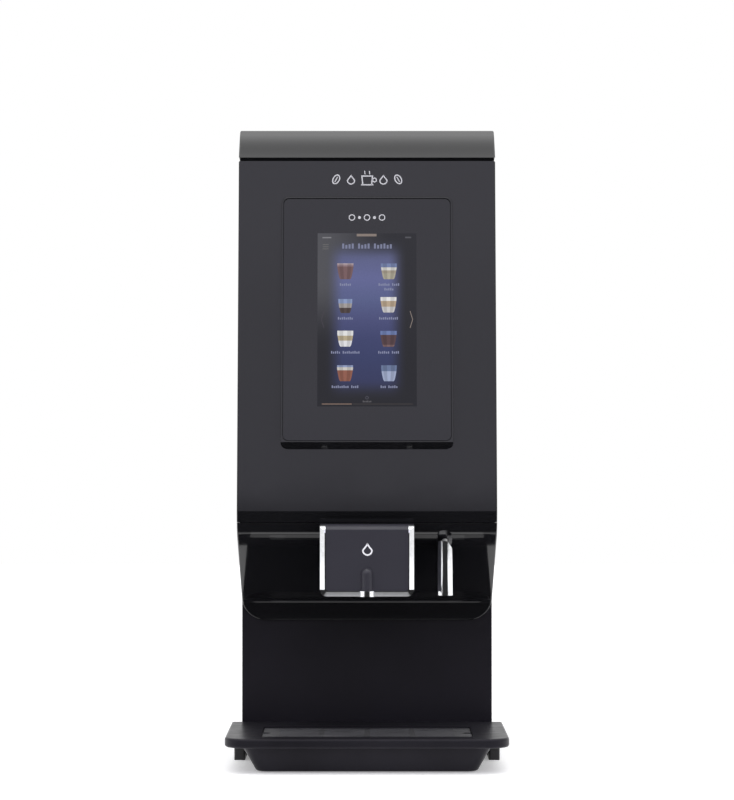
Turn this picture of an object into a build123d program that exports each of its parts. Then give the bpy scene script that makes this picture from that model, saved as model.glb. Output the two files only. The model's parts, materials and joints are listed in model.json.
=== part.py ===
from build123d import *
import os
from math import atan, cos, degrees, radians, sin, tan

# Table-top hot drinks machine with three instant canisters, in millimetres.
# +X is the machine's right-hand side seen from the front, +Z is up and the front
# faces -Y. The origin is on the standing surface, at the centre of the footprint.
# Depths are given as a distance d in front of the lower front panel, turned into Y
# by fwd(d); a negative d is behind the panel, inside the cabinet.

# ---- driving dimensions ----
BODY_WIDTH = 260.0
BODY_HEIGHT = 645.0
CABINET_DEPTH = 320.0
PANEL_Y = -82.0
SHEET = 1.5
WALL = 2.5
GAP = 0.3
RUN_FIT = 0.05

BASE_Z = 6.5
SIDE_TOP_Z = 613.7
ROOF_Z = 614.2
BROW_FOOT_D = 80.0
BROW_TOP_D = 57.0
BROW_TOP_Z = 638.6
ROOF_EDGE_RADIUS = 9.0

# front moulding: door face, bulge, scoop and lower plate
DOOR_TOP_Z = 610.6
DOOR_TOP_D = 80.5
DOOR_LEAN = 6.7
SEAM_LOW_Z = 245.7
SEAM_HIGH_Z = 246.0
BULGE_RADIUS = 32.0
SCOOP_ANGLE = 32.3
SCOOP_FOOT_Z = 161.0
SCOOP_FOOT_RADIUS = 8.0
HEAD_PLATE_D = 4.0
HEAD_LOW_Z = 140.5
HEAD_CORNER = 24.0
DOOR_REAR_D = 2.0
EDGE = 1.5

# door hinge
HINGE_X = -BODY_WIDTH / 2 + 7.0
HINGE_D = 9.0
STILE_RADIUS = 7.0
PIN_RADIUS = 2.5
BUSH_RADIUS = 4.5
BUSH_LENGTH = 14.0
BRACKET_THICK = 3.0

# touch screen
BEZEL_WIDTH = 173.0
BEZEL_TOP_Z = 574.0
BEZEL_LOW_Z = 326.0
BEZEL_TOP_D = 86.0
BEZEL_LOW_D = 123.0
BEZEL_FOOT_Z = 318.8
BEZEL_CORNER = 8.0
BEZEL_SEAT = 1.5
BEZEL_LIP = 2.4
BEZEL_BODY_DEPTH = 13.0
GLASS_THICK = 2.0
SCREEN_WIDTH = 99.6
SCREEN_HEIGHT = 177.0
SCREEN_MID_Z = 449.0
SCREEN_FLOOR = 1.5
DISPLAY_THICK = 5.5
BOARD_THICK = 1.6

# dispensing head
COVER_WIDTH = 93.0
COVER_LOW_Z = 173.5
COVER_TOP_Z = 244.4
COVER_FRONT_D = 150.0
COVER_REAR_D = 70.0
COVER_TOP_RADIUS = 9.0
COVER_WALL = 2.2
TRIM_WIDTH = 5.4
TRIM_PROUD = 1.0
TRIM_SLOPE_DEPTH = 3.0
TRIM_SLOPE_WIDTH = 4.6
TRIM_CORNER = 7.0
BUMP_RADIUS = 6.0
BUMP_TOP_Z = 202.0
NOZZLE_D = 95.0
NOZZLE_PITCH = 22.0
NOZZLE_RADIUS = 5.5
NOZZLE_BORE = 4.0
NOZZLE_LOW_Z = 186.0
NOZZLE_BLOCK_TOP_Z = 230.0
OUTLET_X = 78.0
OUTLET_D = 108.0
OUTLET_WIDTH = 15.2
OUTLET_FRONT_D = 124.0
OUTLET_REAR_D = 98.0
OUTLET_LOW_Z = 173.0
OUTLET_TOP_Z = 227.5

# drip tray
TRAY_WIDTH = 281.0
TRAY_FRONT_D = 168.0
TRAY_REAR_D = 1.2
TRAY_TOP_Z = 35.0
TRAY_PLATE_Z = 25.5
TRAY_CORNER = 22.0
TRAY_EDGE = 2.5
BASIN_HALF_TOP = 123.5
BASIN_HALF_LOW = 109.5
BASIN_LOW_Z = 1.0
BASIN_WALL = 2.5
GRILLE_HALF = 105.0
GRILLE_REAR_D = 54.0
GRILLE_FRONT_D = 145.0
GRILLE_DROP = 1.5
RAIL_HALF_IN = 124.8
RAIL_HALF_OUT = 136.0
RAIL_FRONT_D = 45.0

# ingredient canisters, augers and mixers, one set for each instant product
PRODUCTS = ("coffee", "milk", "chocolate")
PITCH = 78.0
CANISTER_HALF = 36.0
CANISTER_LOW_Z = 378.0
CANISTER_TOP_Z = 575.0
CANISTER_REAR_D = -110.0
CANISTER_FRONT_D = 60.0
CANISTER_WALL = 2.0
TROUGH_RADIUS = 16.0
TROUGH_Z = CANISTER_LOW_Z + TROUGH_RADIUS
AUGER_RADIUS = 12.5
AUGER_SHAFT = 4.0
AUGER_LEAD = 20.0
ELBOW_RADIUS = 15.0
ELBOW_FRONT_D = 84.0
CHUTE_D = 71.0
CHUTE_RADIUS = 11.0
CHUTE_LOW_Z = 346.0
BULKHEAD_D = -116.5
SHELF_FRONT_D = 36.0
MIXER_PLATE_D = 24.0
MIXER_Z = 285.0
BOWL_D = 64.0
BOWL_RADIUS = 32.0
BOWL_TOP_Z = 335.0
CHAMBER_RADIUS = 18.0
WHIPPER_SHAFT = 2.5
WHIPPER_RADIUS = 13.0
MOTOR_RADIUS = 17.0

# water and power
TUBE_RADIUS = 2.5
HOSE_RADIUS = 4.0
TUBE_Z = 352.0
VALVE_FRONT_D = BULKHEAD_D - SHEET - 4.0
BOILER_X = -50.0
BOILER_D = -215.0
BOILER_RADIUS = 46.0
SERVICE_Z = 60.0
REAR_D = -CABINET_DEPTH - SHEET
INLET_X = -88.0
INLET_RADIUS = 13.2
INLET_BORE = 8.5
INLET_REACH = 10.5
POWER_X = 84.0
ROCKER_X = 40.0
FAN_X = 62.0
FAN_Z = 556.0
FAN_SIZE = 60.0

# door lock, on the right-hand side of the door
LOCK_D = 24.0
LOCK_Z = 360.0
LOCK_SLEEVE = 9.0
LOCK_PLUG = 6.0
CAM_LENGTH = 24.0
CAM_X = 109.0

HALF = BODY_WIDTH / 2


# ---- helpers ----
def fwd(distance):
    """Y of the plane that lies this far in front of the lower front panel."""
    return PANEL_Y - distance


def block(x_span, d_span, z_span):
    """Box between two X values, two distances d and two Z values."""
    size = [abs(span[1] - span[0]) for span in (x_span, d_span, z_span)]
    middle = [(span[0] + span[1]) / 2 for span in (x_span, d_span, z_span)]
    return Pos(middle[0], fwd(middle[1]), middle[2]) * Box(*size)


def side_prism(outline, x_low, x_high):
    """Extrude a face drawn in the (Y, Z) plane between two X values."""
    return extrude(Plane.YZ.offset(x_low) * outline, amount=x_high - x_low)


def side_face(points):
    """Face in the (Y, Z) plane from points (d, z)."""
    return make_face(Polyline([(fwd(d), z) for d, z in points], close=True))


def front_prism(outline, d_rear, d_front):
    """Extrude a face drawn in the front view (X, Z) between two distances d."""
    plane = Plane(origin=(0, fwd(d_rear), 0), x_dir=(1, 0, 0), z_dir=(0, -1, 0))
    return extrude(plane * outline, amount=d_front - d_rear)


def rod_y(radius, x, z, d_rear, d_front):
    """Round bar along the front-to-back direction."""
    plane = Plane(origin=(x, fwd(d_rear), z), x_dir=(1, 0, 0), z_dir=(0, -1, 0))
    return extrude(plane * Circle(radius), amount=d_front - d_rear)


def rod_z(radius, x, d, z_low, z_high):
    """Upright round bar."""
    plane = Plane(origin=(x, fwd(d), z_low))
    return extrude(plane * Circle(radius), amount=z_high - z_low)


def rod_x(radius, d, z, x_low, x_high):
    """Round bar across the machine."""
    plane = Plane(origin=(x_low, fwd(d), z), x_dir=(0, 1, 0), z_dir=(1, 0, 0))
    return extrude(plane * Circle(radius), amount=x_high - x_low)


def tube(points, radius, bends, bore=0.0):
    """Tube along points (x, d, z) with one bend radius for each corner."""
    path = FilletPolyline(*[(x, fwd(d), z) for x, d, z in points], radius=bends)
    ring = Circle(radius) if bore == 0 else Circle(radius) - Circle(bore)
    return sweep(Plane(origin=path @ 0, z_dir=path % 0) * ring, path=path)


def corners_near(face, points, reach=1.0):
    """Corners of a drawn face that lie close to the given points."""
    return [v for v in face.vertices() if any((v.center() - Vector(*p)).length < reach for p in points)]


def solids_of(shapes):
    """One group of separate solids."""
    return Compound(children=[solid for shape in shapes for solid in shape.solids()])


def upright_edges(shape, low=0.0):
    """Edges parallel to Z that are longer than low."""
    return shape.edges().filter_by(Axis.Z).filter_by(lambda edge: edge.length > low)


# ---- front outline shared by the door and the dispensing head ----
def face_d(z, inset=0.0):
    """Distance d of the door face at a height, or of a surface that far inside it."""
    lean = radians(DOOR_LEAN)
    return DOOR_TOP_D + (DOOR_TOP_Z - z) * tan(lean) - inset / cos(lean)


def front_outline(inset):
    """Side view of the front moulding, moved inwards by the inset."""
    slope = radians(SCOOP_ANGLE)
    plate_d = HEAD_PLATE_D - inset
    foot_z = SCOOP_FOOT_Z + inset / cos(slope) - inset * tan(slope)
    lean = tan(radians(DOOR_LEAN))
    bulge_d = (face_d(foot_z, inset) + plate_d * tan(slope) * lean) / (1 + lean * tan(slope))
    bulge_z = foot_z + (bulge_d - plate_d) * tan(slope)
    top_z = DOOR_TOP_Z - inset
    low_z = HEAD_LOW_Z + inset
    points = [(0, top_z), (face_d(top_z, inset), top_z), (bulge_d, bulge_z),
              (plate_d, foot_z), (plate_d, low_z), (0, low_z)]
    face = side_face(points)
    face = fillet(corners_near(face, [(fwd(bulge_d), bulge_z)]), BULGE_RADIUS - inset)
    return fillet(corners_near(face, [(fwd(plate_d), foot_z)]), SCOOP_FOOT_RADIUS + inset)


FRONT_OUTER = front_outline(0.0)
FRONT_INNER = front_outline(WALL)


def scoop_z(d):
    """Height of the straight stretch of the scoop at a distance d."""
    return SCOOP_FOOT_Z + (d - HEAD_PLATE_D) * tan(radians(SCOOP_ANGLE))


# ---- cabinet ----
def side_panel(side):
    """Folded sheet side with inward flanges at its front and rear edges; side is -1 or 1."""
    sheet = block((HALF - SHEET, HALF), (-CABINET_DEPTH, -SHEET), (BASE_Z + SHEET, SIDE_TOP_Z))
    front = block((HALF - 10, HALF - SHEET), (-2 * SHEET, -SHEET), (SEAM_HIGH_Z, SIDE_TOP_Z))
    rear = block((HALF - 14, HALF - SHEET), (-CABINET_DEPTH, SHEET - CABINET_DEPTH), (20, SIDE_TOP_Z))
    top = block((HALF - 14, HALF - SHEET), (SHEET - CABINET_DEPTH, -2 * SHEET),
                (SIDE_TOP_Z - SHEET, SIDE_TOP_Z))
    panel = sheet + front + rear + top
    return panel if side > 0 else mirror(panel, Plane.YZ)


VENT_WIDTH = 3.6


def vent_slots(x_mid, z_mid, rows, row_pitch, length):
    """Cutters for a column of rounded ventilation slots in the rear panel."""
    slots = []
    for row in range(rows):
        z = z_mid + (row - (rows - 1) / 2) * row_pitch
        slot = Pos(x_mid, z) * SlotOverall(length, VENT_WIDTH)
        slots.append(front_prism(slot, REAR_D - 1, -CABINET_DEPTH + 1))
    return slots


SCREW_SPOTS = [(side * 118.0, z) for side in (-1, 1) for z in (30.0, 215.0, 400.0, 590.0)]
SCREW_SHANK = 1.8
SCREW_HEAD = 3.6


def rear_panel():
    """Flat service panel with vents and the cut-outs for water and mains."""
    panel = block((-HALF + 0.4, HALF - 0.4), (REAR_D, -CABINET_DEPTH), (BASE_Z + SHEET, SIDE_TOP_Z))
    cuts = vent_slots(FAN_X, FAN_Z, 6, 9.0, 54.0) + vent_slots(-FAN_X, 150.0, 6, 9.0, 54.0)
    cuts += [rod_y(INLET_RADIUS - 1.5, INLET_X, SERVICE_Z, REAR_D - 1, -CABINET_DEPTH + 1)]
    cuts += [block((POWER_X - 14, POWER_X + 14), (REAR_D - 1, -CABINET_DEPTH + 1),
                   (SERVICE_Z - 10.5, SERVICE_Z + 10.5))]
    cuts += [block((ROCKER_X - 9.6, ROCKER_X + 9.6), (REAR_D - 1, -CABINET_DEPTH + 1),
                   (SERVICE_Z - 6.6, SERVICE_Z + 6.6))]
    cuts += [rod_y(SCREW_SHANK + 0.2, x, z, REAR_D - 1, -CABINET_DEPTH + 1) for x, z in SCREW_SPOTS]
    return panel - cuts


def rear_screws():
    """Pan-head screws that hold the rear panel to the side flanges."""
    screws = []
    for x, z in SCREW_SPOTS:
        head = rod_y(SCREW_HEAD, x, z, REAR_D - 2.0, REAR_D)
        head = fillet(head.edges().sort_by(Axis.Y)[-1], 1.2)
        head -= rod_y(1.3, x, z, REAR_D - 2.1, REAR_D - 0.9)
        screws.append(head + rod_y(SCREW_SHANK, x, z, REAR_D, -CABINET_DEPTH - 0.2))
    return solids_of(screws)


def roof_cap():
    """Moulded roof whose front slopes down as a brow above the door."""
    points = [(REAR_D, ROOF_Z), (BROW_FOOT_D, ROOF_Z), (BROW_TOP_D, BROW_TOP_Z),
              (BROW_TOP_D - 9, BODY_HEIGHT), (REAR_D, BODY_HEIGHT)]
    outer_face = side_face(points)
    knees = [(fwd(BROW_TOP_D), BROW_TOP_Z), (fwd(BROW_TOP_D - 9), BODY_HEIGHT)]
    outer_face = fillet(corners_near(outer_face, knees), ROOF_EDGE_RADIUS)
    outer = side_prism(outer_face, -HALF, HALF)
    side_edges = [e for e in outer.edges() if abs(abs(e.center().X) - HALF) < 0.01]
    top_edges = [e for e in side_edges if e.center().Z > ROOF_Z + 5 and e.center().Y < 230]
    outer = fillet(top_edges, EDGE)
    inner_points = [(REAR_D + WALL, ROOF_Z - 1), (BROW_FOOT_D - 2.2, ROOF_Z - 1),
                    (BROW_FOOT_D - 3.6, ROOF_Z + 1), (BROW_TOP_D - 3, BROW_TOP_Z - 1.6),
                    (BROW_TOP_D - 10, BODY_HEIGHT - WALL), (REAR_D + WALL, BODY_HEIGHT - WALL)]
    roof = outer - side_prism(side_face(inner_points), -HALF + WALL, HALF - WALL)
    strip = block((-HALF + 1, HALF - 1), (0, BROW_FOOT_D - 2), (DOOR_TOP_Z + 0.5, ROOF_Z + 0.5))
    return roof + (strip - block((-HALF + 3.5, HALF - 3.5), (-1, BROW_FOOT_D - 4.5), (600, 620)))


def lower_front_panel():
    """Flat sheet panel behind the cup space."""
    panel = block((-HALF, HALF), (-SHEET, 0), (BASE_Z + SHEET, 168))
    return fillet([e for e in upright_edges(panel) if e.center().Y < fwd(-0.1)], 1.2)


def base_plate():
    """Shallow folded tray that carries the cabinet."""
    half = HALF - SHEET - 0.2
    plate = block((-half, half), (-CABINET_DEPTH + 2, -SHEET - 0.2), (BASE_Z, BASE_Z + 14))
    return plate - block((-half + SHEET, half - SHEET), (-CABINET_DEPTH + 2 + SHEET, -2 * SHEET - 0.2),
                         (BASE_Z + SHEET, BASE_Z + 20))


def feet():
    """Rubber feet under the four corners of the base."""
    pads = []
    for x in (-98, 98):
        for d in (-30, -CABINET_DEPTH + 24):
            pad = rod_z(14, x, d, 0, BASE_Z)
            pads.append(chamfer(pad.edges().sort_by(Axis.Z)[0], 1.0))
    return solids_of(pads)


def tray_rails():
    """Two guide blocks beside the basin, each with a tongue under the base plate."""
    rails = []
    for side in (-1, 1):
        rail = block((RAIL_HALF_IN, RAIL_HALF_OUT), (0.6, RAIL_FRONT_D), (0, TRAY_PLATE_Z - GAP))
        rail = fillet([e for e in upright_edges(rail) if e.center().Y < fwd(40)], 2.0)
        rail += block((114, RAIL_HALF_OUT), (0.6, 5.0), (0.8, BASE_Z - 0.8))
        rail += block((114, 127), (-50, 5.0), (0.8, BASE_Z))
        rails.append(rail if side > 0 else mirror(rail, Plane.YZ))
    return solids_of(rails)


def bulkhead():
    """Upright sheet between the food side and the motors, with its clearance holes."""
    half = HALF - 2 * SHEET - GAP
    sheet = block((-half, half), (BULKHEAD_D - SHEET, BULKHEAD_D), (BASE_Z + SHEET, 600))
    holes = [rod_y(7.0, x, TROUGH_Z, BULKHEAD_D - 5, BULKHEAD_D + 5) for x in product_places()]
    holes += [rod_y(TUBE_RADIUS + 1, x, TUBE_Z, BULKHEAD_D - 5, BULKHEAD_D + 5)
              for x in product_places() + [HOT_TUBE_X]]
    return sheet - holes


def product_places():
    """X of each product line, from left to right."""
    return [(index - 1) * PITCH for index in range(len(PRODUCTS))]


HOT_TUBE_X = 102.0


def canister_shelf():
    """Sheet shelf for the canisters, with the upright plate of the mixers welded below."""
    shelf = block((-HALF + SHEET, HALF - SHEET), (BULKHEAD_D, -4), (CANISTER_LOW_Z - 2, CANISTER_LOW_Z))
    shelf += block((-114, 114), (-4, SHELF_FRONT_D), (CANISTER_LOW_Z - 2, CANISTER_LOW_Z))
    shelf -= block((HOT_TUBE_X - 6, HOT_TUBE_X + 6), (-100, -60), (370, 385))
    plate = block((-104, 104), (MIXER_PLATE_D - 2, MIXER_PLATE_D), (250, CANISTER_LOW_Z - 1))
    plate -= [rod_y(4.5, x, MIXER_Z, 20, 26) for x in product_places()]
    plate -= [rod_y(TUBE_RADIUS + 0.6, x, TUBE_Z, 20, 26) for x in product_places()]
    return shelf + plate


# ---- door and hinge ----
def door_shell():
    """Hollow door moulding, open to the rear and below, with the hinge stile."""
    outer = side_prism(FRONT_OUTER, -HALF, HALF)
    inner = side_prism(FRONT_INNER, -HALF + WALL, HALF - WALL)
    keep = block((-HALF, HALF), (DOOR_REAR_D, 140), (SEAM_HIGH_Z, DOOR_TOP_Z))
    door = outer & keep
    rim = [e for e in door.edges() if abs(abs(e.center().X) - HALF) < 0.01
           and e.center().Y < fwd(30) and e.center().Z > SEAM_HIGH_Z + 1]
    door = fillet(rim, EDGE)
    door -= inner + block((-HALF + WALL, HALF - WALL), (-5, 60), (SEAM_HIGH_Z - 5, DOOR_TOP_Z - WALL))
    door -= block((-HALF - 1, HINGE_X), (0, HINGE_D), (SEAM_HIGH_Z - 1, DOOR_TOP_Z + 1))
    door += rod_z(STILE_RADIUS, HINGE_X, HINGE_D, SEAM_HIGH_Z, DOOR_TOP_Z)
    for low, high in bush_spans():
        door -= rod_z(BUSH_RADIUS, HINGE_X, HINGE_D, low, high)
    for low, high in ((SEAM_HIGH_Z - 1, SEAM_HIGH_Z + 20), (DOOR_TOP_Z - 20, DOOR_TOP_Z + 1)):
        door -= rod_z(PIN_RADIUS + 0.5, HINGE_X, HINGE_D, low, high)
    door -= bezel_seat()
    door -= rod_x(LOCK_SLEEVE, LOCK_D, LOCK_Z, HALF - 10, HALF + 1)
    return door


def bush_spans():
    """Z spans of the two hinge bushes."""
    return ((SEAM_HIGH_Z, SEAM_HIGH_Z + BUSH_LENGTH), (DOOR_TOP_Z - BUSH_LENGTH, DOOR_TOP_Z))


def hinge_bushes():
    """Plastic bushes pressed into the ends of the stile."""
    rings = []
    for low, high in bush_spans():
        ring = rod_z(BUSH_RADIUS, HINGE_X, HINGE_D, low, high)
        rings.append(ring - rod_z(PIN_RADIUS + RUN_FIT, HINGE_X, HINGE_D, low - 1, high + 1))
    return solids_of(rings)


def bracket_levels():
    """Z spans of the lower and upper hinge bracket."""
    low_top = SEAM_LOW_Z - 0.4
    high_low = ROOF_Z + 0.6
    return ((low_top - BRACKET_THICK, low_top), (high_low, high_low + BRACKET_THICK))


def hinge_brackets():
    """Steel arms from the cabinet's left side that carry the two hinge pins."""
    arms = []
    for low, high in bracket_levels():
        arm = block((-HALF + WALL + 0.3, HINGE_X + 8), (-40, HINGE_D + 7), (low, high))
        arm -= rod_z(PIN_RADIUS, HINGE_X, HINGE_D, low - 1, high + 1)
        arms.append(arm)
    low, high = bracket_levels()[0]
    arms[0] += block((-HALF + WALL + 0.3, -HALF + WALL + 2.3), (-40, -5), (low - 24, low))
    low, high = bracket_levels()[1]
    arms[1] += block((-HALF + WALL + 0.3, -HALF + WALL + 2.3), (-40, -5), (high, high + 20))
    return solids_of(arms)


def hinge_pins():
    """Pins that stand in the brackets and run in the bushes."""
    lower, upper = bracket_levels()
    reach = BUSH_LENGTH - 2
    pins = [rod_z(PIN_RADIUS, HINGE_X, HINGE_D, lower[0], SEAM_HIGH_Z + reach),
            rod_z(PIN_RADIUS, HINGE_X, HINGE_D, DOOR_TOP_Z - reach, upper[1])]
    return solids_of(pins)


# ---- touch screen ----
BEZEL_TILT = (BEZEL_LOW_D - BEZEL_TOP_D) / (BEZEL_TOP_Z - BEZEL_LOW_Z)


def bezel_face_d(z):
    """Distance d of the bezel's flat face at a height."""
    return BEZEL_TOP_D + (BEZEL_TOP_Z - z) * BEZEL_TILT


def screen_plane(depth):
    """Plane parallel to the screen, this far behind the face, centred on the picture."""
    length = (1 + BEZEL_TILT ** 2) ** 0.5
    normal = Vector(0, -1, BEZEL_TILT) / length
    centre = Vector(0, fwd(bezel_face_d(SCREEN_MID_Z)), SCREEN_MID_Z) - normal * depth
    return Plane(origin=centre, x_dir=(1, 0, 0), z_dir=normal)


def screen_slab(width, height, front, rear, up=0.0, corner=0.0):
    """Slab in the screen's own directions, between two depths behind the face."""
    outline = RectangleRounded(width, height, corner) if corner else Rectangle(width, height)
    return extrude(screen_plane(rear) * (Pos(0, up) * outline), amount=rear - front)


def bezel_outline(grow=0.0):
    """Front view of the bezel, with rounded corners."""
    height = BEZEL_TOP_Z - BEZEL_FOOT_Z + 2 * grow
    middle = (BEZEL_TOP_Z + BEZEL_FOOT_Z) / 2
    return Pos(0, middle) * RectangleRounded(BEZEL_WIDTH + 2 * grow, height, BEZEL_CORNER + grow)


def bezel_seat():
    """Cutter for the recess and the opening that the bezel fills in the door."""
    recess = front_prism(bezel_outline(0.15), 40, 140)
    deeper = [(face_d(600, BEZEL_SEAT), 600), (face_d(300, BEZEL_SEAT), 300), (140, 300), (140, 600)]
    recess &= side_prism(side_face(deeper), -HALF, HALF)
    middle = (BEZEL_TOP_Z + BEZEL_FOOT_Z) / 2
    hole = front_prism(Pos(0, middle) * RectangleRounded(BEZEL_WIDTH - 12, 238, 5), 40, 140)
    return recess + hole


BODY_UP = -2.0


def screen_bezel():
    """Wedge-shaped frame: flush with the door at the top, proud of it at the bottom."""
    wedge = [(bezel_face_d(600), 600), (BEZEL_LOW_D, BEZEL_LOW_Z), (face_d(BEZEL_FOOT_Z), BEZEL_FOOT_Z),
             (face_d(300), 300), (face_d(300, BEZEL_SEAT), 300), (face_d(600, BEZEL_SEAT), 600)]
    frame = front_prism(bezel_outline(), 40, 140) & side_prism(side_face(wedge), -HALF, HALF)
    body = screen_slab(BEZEL_WIDTH - 14, 230, 1.0, BEZEL_BODY_DEPTH, up=BODY_UP, corner=4)
    frame += body
    frame -= screen_slab(BEZEL_WIDTH - 18, 226, GLASS_THICK + SCREEN_FLOOR, BEZEL_BODY_DEPTH + 1,
                         up=BODY_UP, corner=3)
    frame -= glass_outline(-0.1, GLASS_THICK, grow=0.1)
    return frame - screen_slab(SCREEN_WIDTH + 3, SCREEN_HEIGHT + 3, -1, BEZEL_BODY_DEPTH)


def glass_outline(front, rear, grow=0.0):
    """Slab of the touch glass, which leaves an even lip of bezel around it."""
    length = (1 + BEZEL_TILT ** 2) ** 0.5
    top = (BEZEL_TOP_Z - BEZEL_LIP - SCREEN_MID_Z) * length
    low = (BEZEL_LOW_Z + 1.2 - SCREEN_MID_Z) * length
    return screen_slab(BEZEL_WIDTH - 2 * BEZEL_LIP + 2 * grow, top - low + 2 * grow, front, rear,
                       up=(top + low) / 2, corner=BEZEL_CORNER - BEZEL_LIP)


def touch_glass():
    """Touch glass over the whole bezel."""
    return glass_outline(0, GLASS_THICK)


def display_module():
    """Liquid crystal display behind the glass."""
    front = GLASS_THICK + SCREEN_FLOOR
    return screen_slab(SCREEN_WIDTH + 8, SCREEN_HEIGHT + 9, front, front + DISPLAY_THICK)


BOARD_FRONT = GLASS_THICK + SCREEN_FLOOR + DISPLAY_THICK + 1.0


def display_board():
    """Screen controller board with its chips and connector, on four spacers."""
    board = screen_slab(110, 150, BOARD_FRONT, BOARD_FRONT + BOARD_THICK, corner=3)
    for x, up in ((-45, -65), (45, -65), (-45, 65), (45, 65)):
        spacer = Cylinder(3, 1.0)
        board += screen_plane(BOARD_FRONT - 0.5) * (Pos(x, up, 0) * spacer)
    rear = BOARD_FRONT + BOARD_THICK
    chips = ((-20, 20, 26, 26), (25, 30, 14, 14), (18, -20, 20, 12), (-25, -35, 30, 8))
    for x, up, width, height in chips:
        board += screen_plane(rear + 0.9) * (Pos(x, up, 0) * Box(width, height, 1.8))
    return board


def display_cover():
    """Plastic lid over the electronics on the inside of the door."""
    front = BEZEL_BODY_DEPTH
    cover = screen_slab(BEZEL_WIDTH - 14, 230, front, front + 3.5, up=BODY_UP, corner=4)
    cover -= screen_slab(BEZEL_WIDTH - 18, 226, front - 1, front + 2, up=BODY_UP, corner=3)
    for row in range(5):
        cover -= screen_slab(60, 3, front - 1, front + 6, up=60 + row * 7)
    return cover


# ---- dispensing head ----
def dispense_head():
    """Fixed lower part of the front moulding: bulge, scoop and rounded plate."""
    outer = side_prism(FRONT_OUTER, -HALF, HALF)
    keep_face = Pos(0, 300) * Rectangle(BODY_WIDTH, 2 * (300 - HEAD_LOW_Z))
    keep_face = fillet(keep_face.vertices().sort_by(Axis.Y)[:2], HEAD_CORNER)
    head = outer & front_prism(keep_face, GAP, 140)
    head &= block((-HALF, HALF), (GAP, 140), (HEAD_LOW_Z, SEAM_LOW_Z))
    rim = [e for e in head.edges() if abs(abs(e.center().X) - HALF) < 0.01
           and e.center().Y < fwd(6) and e.center().Z < SEAM_LOW_Z - 1]
    head = fillet(rim, EDGE)
    head -= side_prism(FRONT_INNER, -HALF + WALL, HALF - WALL)
    head -= block((-36, 36), (80, 110), (190, 240))
    head -= rod_z(TUBE_RADIUS + 1.0, OUTLET_X, OUTLET_D, 180, 240)
    return head


def cover_block(width, inset=0.0):
    """Outer block of the spout cover, rounded along its top front edge."""
    points = [(COVER_REAR_D + inset, COVER_LOW_Z - 1), (COVER_FRONT_D - inset, COVER_LOW_Z - 1),
              (COVER_FRONT_D - inset, COVER_TOP_Z - inset), (COVER_REAR_D + inset, COVER_TOP_Z - inset)]
    face = side_face(points)
    corner = [(fwd(COVER_FRONT_D - inset), COVER_TOP_Z - inset)]
    face = fillet(corners_near(face, corner), COVER_TOP_RADIUS - inset)
    return side_prism(face, -width / 2, width / 2)


def trim_window(half, low):
    """Front view of the opening inside the trim, rounded at its lower corners."""
    face = Pos(0, low + 60) * Rectangle(2 * half, 120)
    return fillet(face.vertices().sort_by(Axis.Y)[:2], TRIM_CORNER - 3)


def cover_view(grow=0.0):
    """Front view of the whole spout cover, rounded at its lower corners."""
    half = COVER_WIDTH / 2 + grow
    face = Pos(0, COVER_LOW_Z + 60) * Rectangle(2 * half, 120)
    return fillet(face.vertices().sort_by(Axis.Y)[:2], TRIM_CORNER)


TRIM_REAR_D = COVER_FRONT_D - 10.0


def spout_cover():
    """Dark cover in front of the drink nozzles, open below, with a raised face panel."""
    outer = cover_block(COVER_WIDTH) & front_prism(cover_view(), 0, 160)
    outer &= block((-60, 60), (COVER_REAR_D, COVER_FRONT_D - TRIM_PROUD), (COVER_LOW_Z, COVER_TOP_Z))
    cavity = cover_block(COVER_WIDTH - 2 * COVER_WALL, COVER_WALL)
    cavity &= block((-60, 60), (0, TRIM_REAR_D - COVER_WALL), (0, COVER_TOP_Z))
    body = outer - cavity - side_prism(FRONT_OUTER, -HALF, HALF)
    window = trim_window(COVER_WIDTH / 2 - TRIM_WIDTH, COVER_LOW_Z + TRIM_WIDTH)
    body -= front_prism(cover_view(1.0) - window, TRIM_REAR_D, 160)
    return body + face_bump(BUMP_RADIUS)


def face_bump(radius):
    """Upright half-round bump with a domed top, on the lower middle of the cover."""
    centre_d = COVER_FRONT_D - TRIM_PROUD - 1.5
    low = COVER_LOW_Z + TRIM_WIDTH
    bump = rod_z(radius, 0, centre_d, low, BUMP_TOP_Z - radius)
    bump += Pos(0, fwd(centre_d), BUMP_TOP_Z - radius) * Sphere(radius)
    return bump & block((-10, 10), (centre_d, 160), (low, 220))


def spout_trim():
    """Bright U-shaped band around the sides and bottom of the cover's face, sloped outwards."""
    slope_d = COVER_FRONT_D - TRIM_SLOPE_DEPTH
    plane = Plane(origin=(0, fwd(slope_d), 0), x_dir=(1, 0, 0), z_dir=(0, -1, 0))
    taper = degrees(atan(TRIM_SLOPE_WIDTH / TRIM_SLOPE_DEPTH))
    sloped = front_prism(cover_view(), TRIM_REAR_D, slope_d)
    sloped += extrude(plane * cover_view(), amount=TRIM_SLOPE_DEPTH, taper=taper)
    outer = cover_block(COVER_WIDTH) & sloped
    outer &= block((-60, 60), (TRIM_REAR_D, 160), (COVER_LOW_Z, COVER_TOP_Z))
    window = trim_window(COVER_WIDTH / 2 - TRIM_WIDTH, COVER_LOW_Z + TRIM_WIDTH)
    band = outer - front_prism(window, 100, 170)
    centre_d = COVER_FRONT_D - TRIM_PROUD - 1.5
    ring = rod_z(BUMP_RADIUS + 1.4, 0, centre_d, COVER_LOW_Z, COVER_LOW_Z + TRIM_WIDTH)
    return band + (ring & block((-10, 10), (centre_d, 165), (COVER_LOW_Z, COVER_TOP_Z)))


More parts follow.
